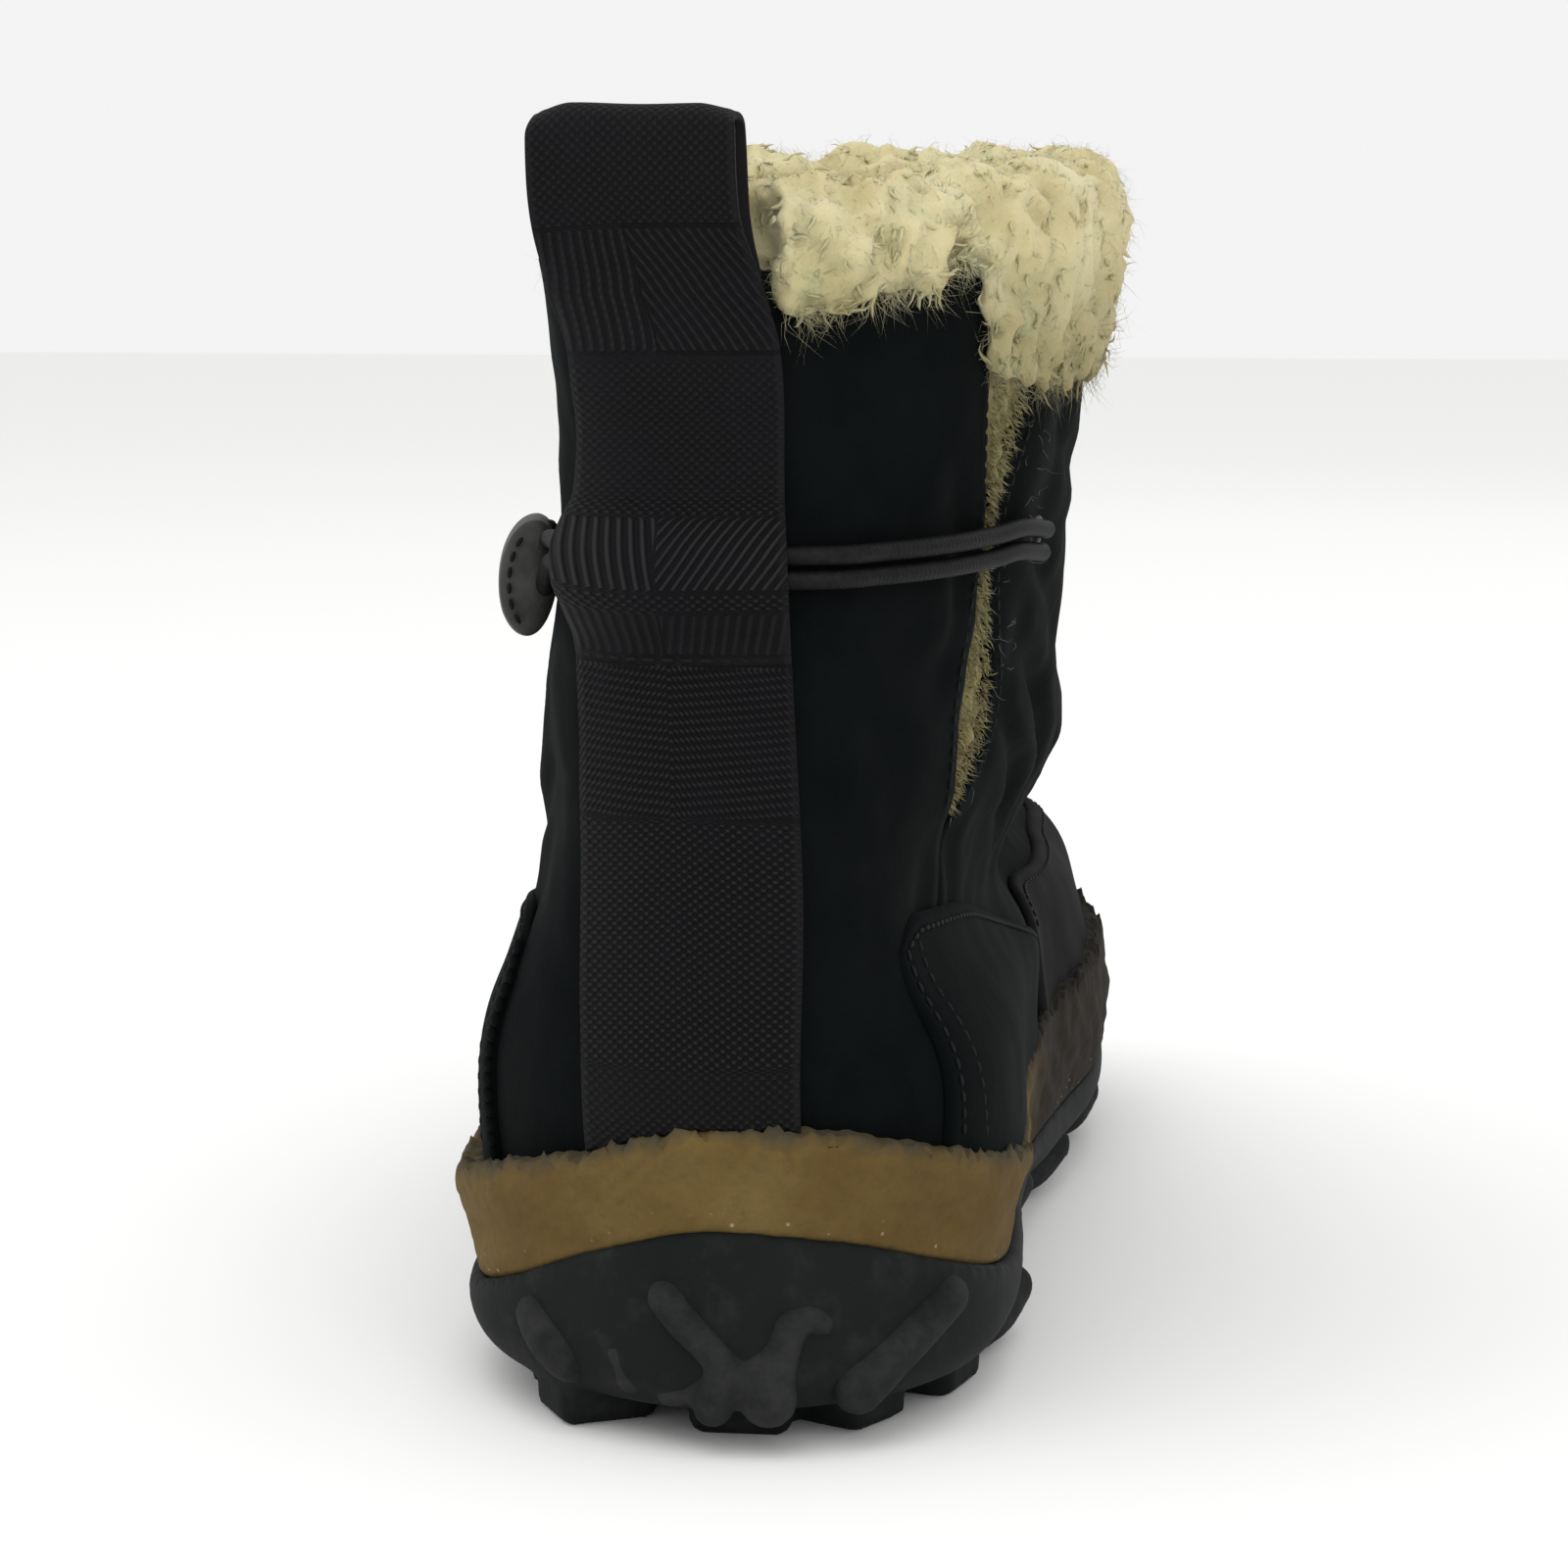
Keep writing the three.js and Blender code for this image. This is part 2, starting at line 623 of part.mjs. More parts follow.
// Toe overlay from the inner to the outer ball, by angle around the plan
const TOE_OVERLAY = 1.6;
const TOE_EDGE = [
  { turn: 1.60, top: 49 },
  { turn: 1.70, top: 53.5 },
  { turn: 1.95, top: 53 },
  { turn: 2.4, top: 54 },
  { turn: 3.14, top: 57 },
  { turn: 3.9, top: 55 },
  { turn: 4.4, top: 56 },
  { turn: 4.56, top: 53 },
];

function toeOverlayGeometry() {
  const place = (u, v) => {
    const angle = THREE.MathUtils.lerp(TOE_EDGE[0].turn, TOE_EDGE.at(-1).turn, u);
    const top = along(TOE_EDGE, (row) => row.turn, 'top', angle);
    const low = side(angle, 'Rim') + 2 * GAP;
    return { angle, level: levelAt(angle, THREE.MathUtils.lerp(low, top, v)) };
  };
  return overlay(panel(16, 2, place, CUTTER.near, CUTTER.far), TOE_OVERLAY);
}

// Webbing strap up the heel. Its middle line leans to the outer side, and above the collar it
// stands free as a pull loop. Heights are from the ground, distances from the upper's outer face.
const STRAP_WIDTH = 31;
const STRAP = 1.8;
const STRAP_LOW = 46;
const STRAP_MIDDLE = [
  { z: 44, x: -3.2, width: 31 },
  { z: 80, x: -4.2, width: 31 },
  { z: 110, x: -5.6, width: 31 },
  { z: 125, x: -5.6, width: 29.8 },
  { z: 146, x: -5.4, width: 27.2 },
  { z: 160, x: -8.9, width: 27.2 },
  { z: 178, x: -10.2, width: 27.2 },
];
const CORD = 2.7;
const CORD_LEVELS = { low: 116, high: 119.2 };
const CHANNEL = { low: 113.2, high: 122 };
const LOOP_FLAT = { from: 148, to: 164 };
const BULGE = CORD + 1.9;
const TAIL = { low: 134, full: 137, high: 148 };
const LOOP = { foot: 157, waist: 159.5, middle: 167, top: 178.2, outer: 9.3, inner: -2.6 };
const STRAP_TUCK = 60;
const STRAP_STEP = 12;

function strapPoint(part, z, distance) {
  const middle = along(STRAP_MIDDLE, (row) => row.z, 'x', z);
  const across = part * along(STRAP_MIDDLE, (row) => row.z, 'width', z);
  const onUpper = Math.min(z, COLLAR_LOW - 1);
  let low = -1.2;
  let high = 1.2;
  for (let i = 0; i < 22; i += 1) {
    const mid = (low + high) / 2;
    if (upperPoint(mid, levelAt(mid, onUpper)).x < middle + across) low = mid;
    else high = mid;
  }
  const angle = (low + high) / 2;
  const rim = side(angle, 'Rim') + 2 * GAP;
  const tucked = Math.max(0, (STRAP_TUCK - z) / (STRAP_TUCK - STRAP_LOW));
  const height = THREE.MathUtils.lerp(onUpper, rim, tucked);
  const point = upperOffset(angle, levelAt(angle, height), distance);
  point.z += z - onUpper;
  const flat = THREE.MathUtils.smoothstep(z, LOOP_FLAT.from, LOOP_FLAT.to);
  const spine = upperPoint(0, levelAt(0, onUpper)).y - distance;
  point.y = THREE.MathUtils.lerp(point.y, spine, flat);
  point.x = THREE.MathUtils.lerp(point.x, middle + across, flat);
  return point;
}

// The strap seen edge on: distance from the upper and height, up the outside, over and down again
function strapProfile() {
  const outer = new THREE.Shape();
  const under = 2 * GAP;
  const skin = under + STRAP;
  outer.moveTo(under, STRAP_LOW);
  outer.lineTo(skin, STRAP_LOW);
  outer.lineTo(skin, CHANNEL.low - 4);
  outer.quadraticCurveTo(skin + BULGE, CHANNEL.low - 1, skin + BULGE, (CHANNEL.low + CHANNEL.high) / 2);
  outer.quadraticCurveTo(skin + BULGE, CHANNEL.high + 1, skin, CHANNEL.high + 4);
  outer.lineTo(skin, TAIL.low);
  outer.lineTo(skin + STRAP, TAIL.full);
  outer.lineTo(skin + STRAP, TAIL.high);
  outer.bezierCurveTo(skin + STRAP, LOOP.foot, LOOP.outer, LOOP.waist, LOOP.outer, LOOP.middle);
  outer.bezierCurveTo(LOOP.outer, LOOP.top - 4, 7, LOOP.top, 3.2, LOOP.top);
  outer.bezierCurveTo(-0.6, LOOP.top, LOOP.inner, LOOP.top - 4, LOOP.inner, LOOP.middle);
  outer.bezierCurveTo(LOOP.inner, LOOP.waist + 3, -1.6, LOOP.waist + 0.5, 0, LOOP.foot + 1.6);
  outer.lineTo(under, LOOP.foot);
  outer.lineTo(under, CHANNEL.high + 2.5);
  outer.lineTo(GAP + CORD + 1.7, CHANNEL.high);
  outer.lineTo(GAP + CORD + 1.7, CHANNEL.low);
  outer.lineTo(under, CHANNEL.low - 2.5);
  outer.closePath();
  const gap = new THREE.Path();
  const far = LOOP.outer - STRAP;
  const near = LOOP.inner + STRAP;
  const roof = LOOP.top - STRAP;
  gap.moveTo(3.4, LOOP.foot);
  gap.bezierCurveTo(6.5, LOOP.waist, far, LOOP.waist + 2, far, LOOP.middle);
  gap.bezierCurveTo(far, roof - 4, 6.2, roof, 3.3, roof);
  gap.bezierCurveTo(0.4, roof, near, roof - 4, near, LOOP.middle);
  gap.bezierCurveTo(near, LOOP.waist + 3, 0.6, LOOP.waist + 0.5, 2.4, LOOP.foot);
  gap.closePath();
  outer.holes.push(gap);
  return outer;
}

// The points of an outline, with long straight runs cut into steps
function stepped(outline, step) {
  const points = outline.getPoints(4);
  return points.flatMap((p, i) => {
    const next = points[(i + 1) % points.length];
    const count = Math.max(1, Math.ceil(p.distanceTo(next) / step));
    return Array.from({ length: count }, (_, k) => p.clone().lerp(next, k / count));
  });
}

function strapGeometry() {
  const profile = strapProfile();
  const shape = new THREE.Shape(stepped(profile, STRAP_STEP));
  shape.holes.push(new THREE.Path(stepped(profile.holes[0], STRAP_STEP)));
  const geometry = new THREE.ExtrudeGeometry(shape, { depth: STRAP_WIDTH, steps: 7, bevelEnabled: false });
  const position = geometry.attributes.position;
  for (let i = 0; i < position.count; i += 1) {
    const point = strapPoint(position.getZ(i) / STRAP_WIDTH - 0.5, position.getY(i), position.getX(i));
    position.setXYZ(i, point.x, point.y, point.z);
  }
  return geometryOf(solid(turned(geometry)).subtract(solid(upperForm(GAP / 2, FORM_ROWS))));
}

// Elastic cord: two runs from an anchor on the inner side, under the strap, to a bight round the
// toggle on the outer side. Stations are places along the foot on the inner (1) or outer (-1) side.
const CORD_RUN = [
  { hand: 1, place: 57.5, lift: 0.6 },
  { hand: 1, place: 48, lift: 1.5 },
  { hand: 1, place: 40, lift: 1 },
  { hand: 1, place: 30, lift: 0.5 },
  { hand: 1, place: 21, lift: 0.2 },
  { hand: 1, place: 14.5, lift: 0 },
  { hand: -1, place: 13, lift: 0 },
  { hand: -1, place: 20, lift: 0.2 },
  { hand: -1, place: 28, lift: 0.4 },
];
const TOGGLE = { place: 39, z: 114.8, neck: 3, bight: 5.2 };
const CORD_OFF = GAP + CORD / 2 + 0.8;

function cordPoint(hand, place, z) {
  const angle = angleAt(hand, place, z);
  return upperOffset(angle, levelAt(angle, z), CORD_OFF);
}

function cordGeometry() {
  const upperRun = CORD_RUN.map((row) => cordPoint(row.hand, row.place, CORD_LEVELS.high + row.lift));
  const lowerRun = CORD_RUN.map((row) => cordPoint(row.hand, row.place, CORD_LEVELS.low + row.lift));
  const bight = Array.from({ length: 6 }, (_, k) => {
    const turn = Math.PI * (0.72 - (1.44 * k) / 5);
    const place = TOGGLE.place + TOGGLE.bight * Math.cos(turn);
    return cordPoint(-1, place, TOGGLE.z + TOGGLE.bight * Math.sin(turn));
  });
  const route = new THREE.CatmullRomCurve3([...upperRun, ...bight, ...lowerRun.reverse()]);
  const section = new THREE.Shape();
  section.absarc(0, 0, CORD / 2, 0, 2 * Math.PI);
  const sides = new THREE.Shape(section.getPoints(4).slice(0, -1));
  const tube = new THREE.ExtrudeGeometry(sides, { steps: 44, extrudePath: route, bevelEnabled: false });
  return geometryOf(solid(tube));
}

// Leather toggle: a neck through the cord's bight and a rounded tab outside it, seen as a D
const TAB = { width: 11, near: 4.3, far: 7.8 };

function toggleGeometry() {
  const profile = new THREE.Shape();
  profile.moveTo(TAB.near, TOGGLE.z + 7);
  profile.bezierCurveTo(5.5, TOGGLE.z + 7, TAB.far, TOGGLE.z + 4, TAB.far, TOGGLE.z - 1);
  profile.bezierCurveTo(TAB.far, TOGGLE.z - 6, 6.4, TOGGLE.z - 9, TAB.near, TOGGLE.z - 9);
  profile.closePath();
  const tab = new THREE.ExtrudeGeometry(new THREE.Shape(stepped(profile, 4)), {
    depth: TAB.width, steps: 4, bevelEnabled: false,
  });
  const neckShape = new THREE.Shape();
  neckShape.absarc(0, 0, TOGGLE.neck, 0, 2 * Math.PI);
  const neck = new THREE.ExtrudeGeometry(new THREE.Shape(neckShape.getPoints(4).slice(0, -1)), {
    depth: TAB.near + 1, bevelEnabled: false,
  });
  const bend = (geometry, map) => {
    const position = geometry.attributes.position;
    for (let i = 0; i < position.count; i += 1) {
      const { place, z, distance } = map(position.getX(i), position.getY(i), position.getZ(i));
      const angle = angleAt(-1, place, z);
      const point = upperOffset(angle, levelAt(angle, z), distance);
      position.setXYZ(i, point.x, point.y, point.z);
    }
    return geometry;
  };
  const head = bend(tab, (x, y, z) => {
    const middle = (2 * z) / TAB.width - 1;
    const thin = 1 - 0.3 * middle ** 4;
    return {
      place: TOGGLE.place - middle * (TAB.width / 2),
      z: TOGGLE.z + (y - TOGGLE.z) * (1 - 0.25 * middle ** 4),
      distance: TAB.near + (x - TAB.near) * thin,
    };
  });
  const stem = bend(neck, (x, y, z) => ({ place: TOGGLE.place - x, z: TOGGLE.z + y, distance: GAP + z }));
  return geometryOf(solid(turned(head)).add(solid(stem)));
}

// Fleece gusset behind the slit, with its pile standing in the opening
const GUSSET = { low: 74, high: 127, reach: 7, thick: 3.5 };
const PILE = { low: 84, high: 112, clear: 0.6, sunk: 0.9 };

function gussetGeometry() {
  const behind = -WALL - 3 * GAP;
  const slitEdge = (z, u) => {
    const height = THREE.MathUtils.clamp(z, SLIT[0].z, SLIT.at(-1).z);
    const at = (column) => along(SLIT, (row) => row.z, column, height);
    return THREE.MathUtils.lerp(at('rear'), at('front'), u);
  };
  const sheet = (low, high, spread, rows, near, far) => panel(4, rows, (u, v) => {
    const z = THREE.MathUtils.lerp(low, high, v);
    const place = slitEdge(z, u) + (2 * u - 1) * spread;
    const angle = angleAt(1, place, z);
    return { angle, level: levelAt(angle, z) };
  }, near, far);
  const back = sheet(GUSSET.low, GUSSET.high, GUSSET.reach, 7, behind - GUSSET.thick, behind);
  const pile = sheet(PILE.low, PILE.high, -PILE.clear, 6, behind - 1, -PILE.sunk);
  return geometryOf(solid(back).add(solid(pile)));
}

// Fleece collar: a roll over the collar's edge. Each row is a corner of its section, as a distance
// from the upper's outer face and a rise over the edge, free and where the strap holds it in.
const FLEECE = [
  { off: -3.2, rise: -24, heldOff: -3.2, heldRise: -24, hem: 0 },
  { off: -3.4, rise: 1.2, heldOff: -3.6, heldRise: -5, hem: 0 },
  { off: 0.8, rise: 1.2, heldOff: -3.7, heldRise: -2.5, hem: 0 },
  { off: 0.8, rise: 0, heldOff: -3.8, heldRise: -1, hem: 1 },
  { off: 2.0, rise: -1, heldOff: -3.9, heldRise: 1, hem: 1 },
  { off: 2.8, rise: 2, heldOff: -4.0, heldRise: 3, hem: 0.6 },
  { off: 3.2, rise: 6, heldOff: -4.2, heldRise: 6, hem: 0 },
  { off: 1.2, rise: 9.5, heldOff: -5, heldRise: 9, hem: 0 },
  { off: -3.5, rise: 11.5, heldOff: -8, heldRise: 10, hem: 0 },
  { off: -9.5, rise: 7.5, heldOff: -11, heldRise: 5.5, hem: 0 },
  { off: -11, rise: -1, heldOff: -11, heldRise: -3, hem: 0 },
  { off: -8, rise: -24, heldOff: -8, heldRise: -24, hem: 0 },
];
const FLEECE_SECTIONS = 36;
const HEM = { short: 0.8, long: 3.4, wave: 0.8, atSlit: 16, from: 0.95, full: 1.15, ease: 1.9, to: 2.3 };
const SWELL = { waves: 5, deep: 0.12, lock: 0.08 };
const HELD = { x: -9, inside: 17.5, outside: 22, behind: 50 };

function fleeceCollarGeometry() {
  const rings = Array.from({ length: FLEECE_SECTIONS }, (_, k) => {
    const angle = (2 * Math.PI * k) / FLEECE_SECTIONS;
    const edge = upperPoint(angle, 1);
    const spread = Math.abs(edge.x - HELD.x) + (edge.y > HELD.behind ? HELD.outside : 0);
    const held = 1 - THREE.MathUtils.smoothstep(spread, HELD.inside, HELD.outside);
    const nearSlit = THREE.MathUtils.smoothstep(angle, HEM.from, HEM.full)
      * (1 - THREE.MathUtils.smoothstep(angle, HEM.ease, HEM.to));
    const wave = HEM.wave * Math.sin(3 * angle + 1);
    const tuft = (k % 2 ? HEM.long : HEM.short) + wave + HEM.atSlit * nearSlit;
    const swell = 1 + SWELL.deep * Math.sin(SWELL.waves * angle) + (k % 2 ? SWELL.lock : -SWELL.lock);
    return FLEECE.map((row) => {
      const rise = THREE.MathUtils.lerp(row.rise - row.hem * tuft, row.heldRise, held);
      const off = THREE.MathUtils.lerp(row.off > 1 ? row.off * swell : row.off, row.heldOff, held);
      const level = rise < 0 ? levelAt(angle, edge.z + rise) : 1;
      const point = upperOffset(angle, level, off);
      point.z = edge.z + rise;
      return point;
    });
  });
  return geometryOf(solid(turned(loft(rings, true))).subtract(collarWall(GAP)));
}

const boot = new THREE.Group();
boot.name = 'boot';
boot.position.y = -HEEL_CENTRE;

function add(name, geometry, color, roughness) {
  const mesh = new THREE.Mesh(geometry, new THREE.MeshStandardMaterial({ color, roughness, metalness: 0 }));
  mesh.name = name;
  boot.add(mesh);
  return mesh;
}

add('upper', upperGeometry(), 0x17191a, 0.9);
add('outsole', treadedOutsole(), 0x262929, 0.75);
add('midsole', midsoleGeometry(), 0x9a7a45, 0.8);
add('insole', insoleGeometry(), 0xbfb686, 0.95);
add('outer_foxing', foxingGeometry(OUTER_FOXING, -1), 0x1b1c1d, 0.85);
add('inner_foxing', foxingGeometry(INNER_FOXING, 1), 0x1b1c1d, 0.85);
add('toe_overlay', toeOverlayGeometry(), 0x27262a, 0.6);
add('heel_strap', strapGeometry(), 0x1a191c, 0.9);
add('ankle_cord', cordGeometry(), 0x161618, 0.6);
add('toggle', toggleGeometry(), 0x343433, 0.7);
add('fleece_gusset', gussetGeometry(), 0xbfb686, 1);
add('fleece_collar', fleeceCollarGeometry(), 0xbfb686, 1);

export default boot;
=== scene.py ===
import math

import bmesh
import bpy
import numpy as np
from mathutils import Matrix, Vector
from mathutils.bvhtree import BVHTree


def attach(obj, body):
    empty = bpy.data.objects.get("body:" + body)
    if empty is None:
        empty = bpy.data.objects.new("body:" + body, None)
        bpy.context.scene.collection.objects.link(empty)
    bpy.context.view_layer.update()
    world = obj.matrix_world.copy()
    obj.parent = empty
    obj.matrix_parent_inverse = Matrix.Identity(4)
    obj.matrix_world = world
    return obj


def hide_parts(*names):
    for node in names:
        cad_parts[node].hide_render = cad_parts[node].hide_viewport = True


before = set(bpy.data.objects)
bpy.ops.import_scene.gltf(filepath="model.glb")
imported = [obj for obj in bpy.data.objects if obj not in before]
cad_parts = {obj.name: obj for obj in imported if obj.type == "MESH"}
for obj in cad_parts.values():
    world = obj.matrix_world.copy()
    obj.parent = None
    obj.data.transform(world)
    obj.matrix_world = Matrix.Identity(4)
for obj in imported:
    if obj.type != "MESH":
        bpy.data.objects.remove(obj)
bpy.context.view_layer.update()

# The studio: a pale floor, soft light from above and from the camera's side, and the camera low
# behind the heel, as near to the boot as the photograph was taken.
MM = 0.001
EYE = (82.5, -577.4, 165.0)
AIM = (2.3, 19.2, 82.9)
LENS = 98.1
PAPER = (0.93, 0.93, 0.92, 1.0)
LAMPS = {
    "over": {"at": (-0.3, -0.5, 1.6), "size": 1.6, "power": 7.5},
    "behind": {"at": (0.5, -1.3, 0.75), "size": 1.1, "power": 5.5},
    "left": {"at": (-1.2, -0.3, 0.6), "size": 0.9, "power": 1.6},
    "front": {"at": (0.5, 1.4, 1.0), "size": 1.2, "power": 1.4},
}


def facing(at, target):
    return (Vector(target) - Vector(at)).to_track_quat("-Z", "Y").to_euler()


camera = bpy.data.objects.new("camera", bpy.data.cameras.new("camera"))
camera.location = Vector(EYE) * MM
camera.rotation_euler = facing(EYE, AIM)
camera.data.lens = LENS
bpy.context.scene.collection.objects.link(camera)
bpy.context.scene.camera = camera
for name, lamp in LAMPS.items():
    light = bpy.data.objects.new("lamp_" + name, bpy.data.lights.new("lamp_" + name, "AREA"))
    light.data.size = lamp["size"]
    light.data.energy = lamp["power"]
    light.location = lamp["at"]
    light.rotation_euler = facing(lamp["at"], (0, 0.05, 0.08))
    bpy.context.scene.collection.objects.link(light)
world = bpy.data.worlds.new("studio")
world.use_nodes = True
world.node_tree.nodes["Background"].inputs["Color"].default_value = (1.0, 1.0, 1.0, 1.0)
world.node_tree.nodes["Background"].inputs["Strength"].default_value = 0.90
bpy.context.scene.world = world
bpy.context.scene.view_settings.view_transform = "Standard"

paper = bmesh.new()
bmesh.ops.create_grid(paper, x_segments=1, y_segments=1, size=4.0)
floor = bpy.data.objects.new("floor", bpy.data.meshes.new("floor"))
paper.to_mesh(floor.data)
paper.free()
bpy.context.scene.collection.objects.link(floor)
floor_paint = bpy.data.materials.new("paper")
floor_paint.use_nodes = True
floor_paint.node_tree.nodes["Principled BSDF"].inputs["Base Color"].default_value = PAPER
floor_paint.node_tree.nodes["Principled BSDF"].inputs["Roughness"].default_value = 0.9
floor.data.materials.append(floor_paint)

# The upper: a shell of black suede about 2 mm thick, drawn over the last, open at the collar and
# down the slit on its inner side. Angles run round the plan from the heel by the inner side.
LENGTH = 272.0
BALL_WIDTH = 96.0
WALL = 2.2
GAP = 0.3
HEEL_CENTRE = 36.0
PLAN = {
    "along": (0.0, 0.022, 0.055, 0.110, 0.185, 0.275, 0.370, 0.480, 0.590, 0.680, 0.770, 0.855,
              0.920, 0.968, 1.0),
    "outer": (0.0, 0.195, 0.312, 0.410, 0.456, 0.460, 0.448, 0.478, 0.545, 0.575, 0.555, 0.475,
              0.345, 0.200, 0.0),
    "inner": (0.0, 0.190, 0.295, 0.370, 0.393, 0.379, 0.356, 0.360, 0.384, 0.406, 0.398, 0.355,
              0.295, 0.195, 0.0),
}
TOE_TIP_X = 4.0
RINGS = {
    "back": (8.5, 3, 4, 7, 9.5, 11.5, 12, 11, 9.5, 8),
    "backZ": (26, 45, 60, 74, 86, 97, 108, 122, 138, 156),
    "front": (265.5, 266.5, 255, 233, 198, 163, 139, 123, 116, 115),
    "frontZ": (28, 43, 57, 67, 79, 93, 110, 126, 142, 161),
    "outer": (43, 44, 39, 36.5, 35.2, 33.3, 29.5, 26, 26.5, 28),
    "inner": (38, 39, 28.5, 32.5, 36, 36, 35, 35.5, 36.8, 38.6),
    "backX": (-1, -1, -1.5, -2, -2.5, -3, -3.5, -4.5, -5.5, -6.5),
    "frontX": (4, 4, 4, 4, 4, 5, 6, 7, 8, 9),
    "foot": (1, 1, 0.5, 0.15, 0, 0, 0, 0, 0, 0),
    "taper": (0, 0, 0.3, 0.2, 0.04, 0, -0.1, -0.15, -0.15, -0.15),
    "sag": (4.5, 1.5, 0, 0, 0, 0, 0, 0, 0, 0),
    "ball": (0, 5.6, 7.6, 1, 0, 0, 0, 0, 0, 0),
}
RING_FULLNESS = 0.78
UPPER_INSET = 3.2
SIDE_INSET = {"outer": 4.8, "inner": 1.9}
BALL = {"from": 0.42, "full": 0.62, "ease": 0.8}
COLLAR_LOW = 155.0
SLIT = {
    "z": (79, 84, 90, 97, 106, 114, 123, 131, 140, 162),
    "rear": (44.2, 43.2, 42.2, 41.4, 42.4, 42.6, 41.8, 40.2, 38.5, 34.0),
    "front": (45.8, 47.5, 52.0, 53.0, 49.0, 45.4, 44.0, 47.0, 51.5, 61.5),
}
SHELL = {"columns": 270, "rows": 100}


def smooth_step(x, low, high):
    t = np.clip((x - low) / (high - low), 0, 1)
    return t * t * (3 - 2 * t)


def along(at, values, x, level_ends=False):
    """A table's column read between its rows, with slopes from the neighbouring rows"""
    at = np.asarray(at, float)
    values = np.asarray(values, float)
    row = np.arange(len(at))
    before = np.maximum(row - 1, 0)
    after = np.minimum(row + 1, len(at) - 1)
    slope = (values[after] - values[before]) / (at[after] - at[before])
    if level_ends:
        slope[[0, -1]] = 0
    x = np.asarray(x, float)
    i = np.clip(np.searchsorted(at, x) - 1, 0, len(at) - 2)
    span = at[i + 1] - at[i]
    t = np.clip((x - at[i]) / span, 0, 1)
    return ((2 * t**3 - 3 * t**2 + 1) * values[i] + (t**3 - 2 * t**2 + t) * span * slope[i]
            + (3 * t**2 - 2 * t**3) * values[i + 1] + (t**3 - t**2) * span * slope[i + 1])


PLAN_ANGLE = np.arccos(1 - 2 * np.array(PLAN["along"]))


def share(angle):
    return (1 - np.cos(angle)) / 2


def plan_width(angle):
    turn = np.mod(angle, 2 * np.pi)
    inner = turn <= np.pi
    half = np.where(inner, turn, 2 * np.pi - turn)
    return BALL_WIDTH * np.where(inner, along(PLAN_ANGLE, PLAN["inner"], half),
                                 -along(PLAN_ANGLE, PLAN["outer"], half))


def upper_point(angle, level):
    """A point of the upper's outer face; level runs from 0 at its lower edge to 1 at the collar"""
    angle, level = np.broadcast_arrays(np.asarray(angle, float), np.asarray(level, float))
    at = level * (len(RINGS["back"]) - 1)
    rows = np.arange(len(RINGS["back"]))
    get = {name: along(rows, column, at) for name, column in RINGS.items()}
    c = share(angle)
    side = np.sin(angle)
    half = np.where(side > 0, get["inner"], get["outer"])
    shaft = np.sign(side) * np.abs(side) ** RING_FULLNESS * half * (1 - get["taper"] * c)
    stretch = LENGTH / (LENGTH - 2 * UPPER_INSET)
    inset = np.where(side > 0, SIDE_INSET["inner"], SIDE_INSET["outer"])
    foot = plan_width(angle) / stretch - side * inset
    at_ball = smooth_step(c, BALL["from"], BALL["full"]) * (1 - smooth_step(c, BALL["ease"], 1))
    tuck = np.where(side > 0, get["ball"] * at_ball, 0)
    x = (get["backX"] + (get["frontX"] - get["backX"]) * c + get["foot"] * foot
         + (1 - get["foot"]) * shaft - tuck)
    y = get["back"] + (get["front"] - get["back"]) * c - HEEL_CENTRE
    z = get["backZ"] + (get["frontZ"] - get["backZ"]) * c - get["sag"] * side * side
    return np.stack([x, y, z], -1)


def unit(vectors):
    return vectors / np.maximum(np.linalg.norm(vectors, axis=-1, keepdims=True), 1e-9)


def upper_normal(angle, level):
    d = 0.004
    across = upper_point(angle + 0.02, level) - upper_point(angle - 0.02, level)
    up = upper_point(angle, np.minimum(level + d, 1)) - upper_point(angle, np.maximum(level - d, 0))
    return unit(np.cross(across, up))


def upper_offset(angle, level, distance):
    return upper_point(angle, level) + upper_normal(angle, level) * np.asarray(distance)[..., None]


def found(low, high, too_low, steps=20):
    """Bisection on whole arrays: too_low(x) says where x is still below the answer"""
    for _ in range(steps):
        middle = (low + high) / 2
        below = too_low(middle)
        low = np.where(below, middle, low)
        high = np.where(below, high, middle)
    return (low + high) / 2


def level_at(angle, z):
    angle, z = np.broadcast_arrays(np.asarray(angle, float), np.asarray(z, float))
    return found(np.zeros(z.shape), np.ones(z.shape), lambda m: upper_point(angle, m)[..., 2] < z)


def angle_at(side, place, z):
    """Angle at which the upper stands at a place from the heel's back edge, inner (1) or outer (-1)"""
    place, z = np.broadcast_arrays(np.asarray(place, float), np.asarray(z, float))
    y = place - HEEL_CENTRE
    short = lambda m: upper_point(side * m, level_at(side * m, z))[..., 1] < y
    return side * found(np.zeros(z.shape), np.full(z.shape, np.pi), short, 18)


def on_upper(side, place, z, distance=0.0):
    angle = angle_at(side, place, z)
    return upper_offset(angle, level_at(angle, z), np.broadcast_to(distance, angle.shape))


def slit_angle(level, edge):
    """Angle of the slit's rear or front edge at each level; under the slit both are one line"""
    rear = np.asarray(SLIT["rear"], float)
    front = np.asarray(SLIT["front"], float)

    def short(angle):
        p = upper_point(angle, level)
        closed = smooth_step(p[..., 2], SLIT["z"][0] - 1.5, SLIT["z"][0] + 0.5)
        half = closed * (along(SLIT["z"], front, p[..., 2]) - along(SLIT["z"], rear, p[..., 2])) / 2
        middle = along(SLIT["z"], (rear + front) / 2, p[..., 2])
        return p[..., 1] + HEEL_CENTRE < middle + (half if edge == "front" else -half)

    return found(np.full(level.shape, 0.3), np.full(level.shape, 2.2), short, 24)


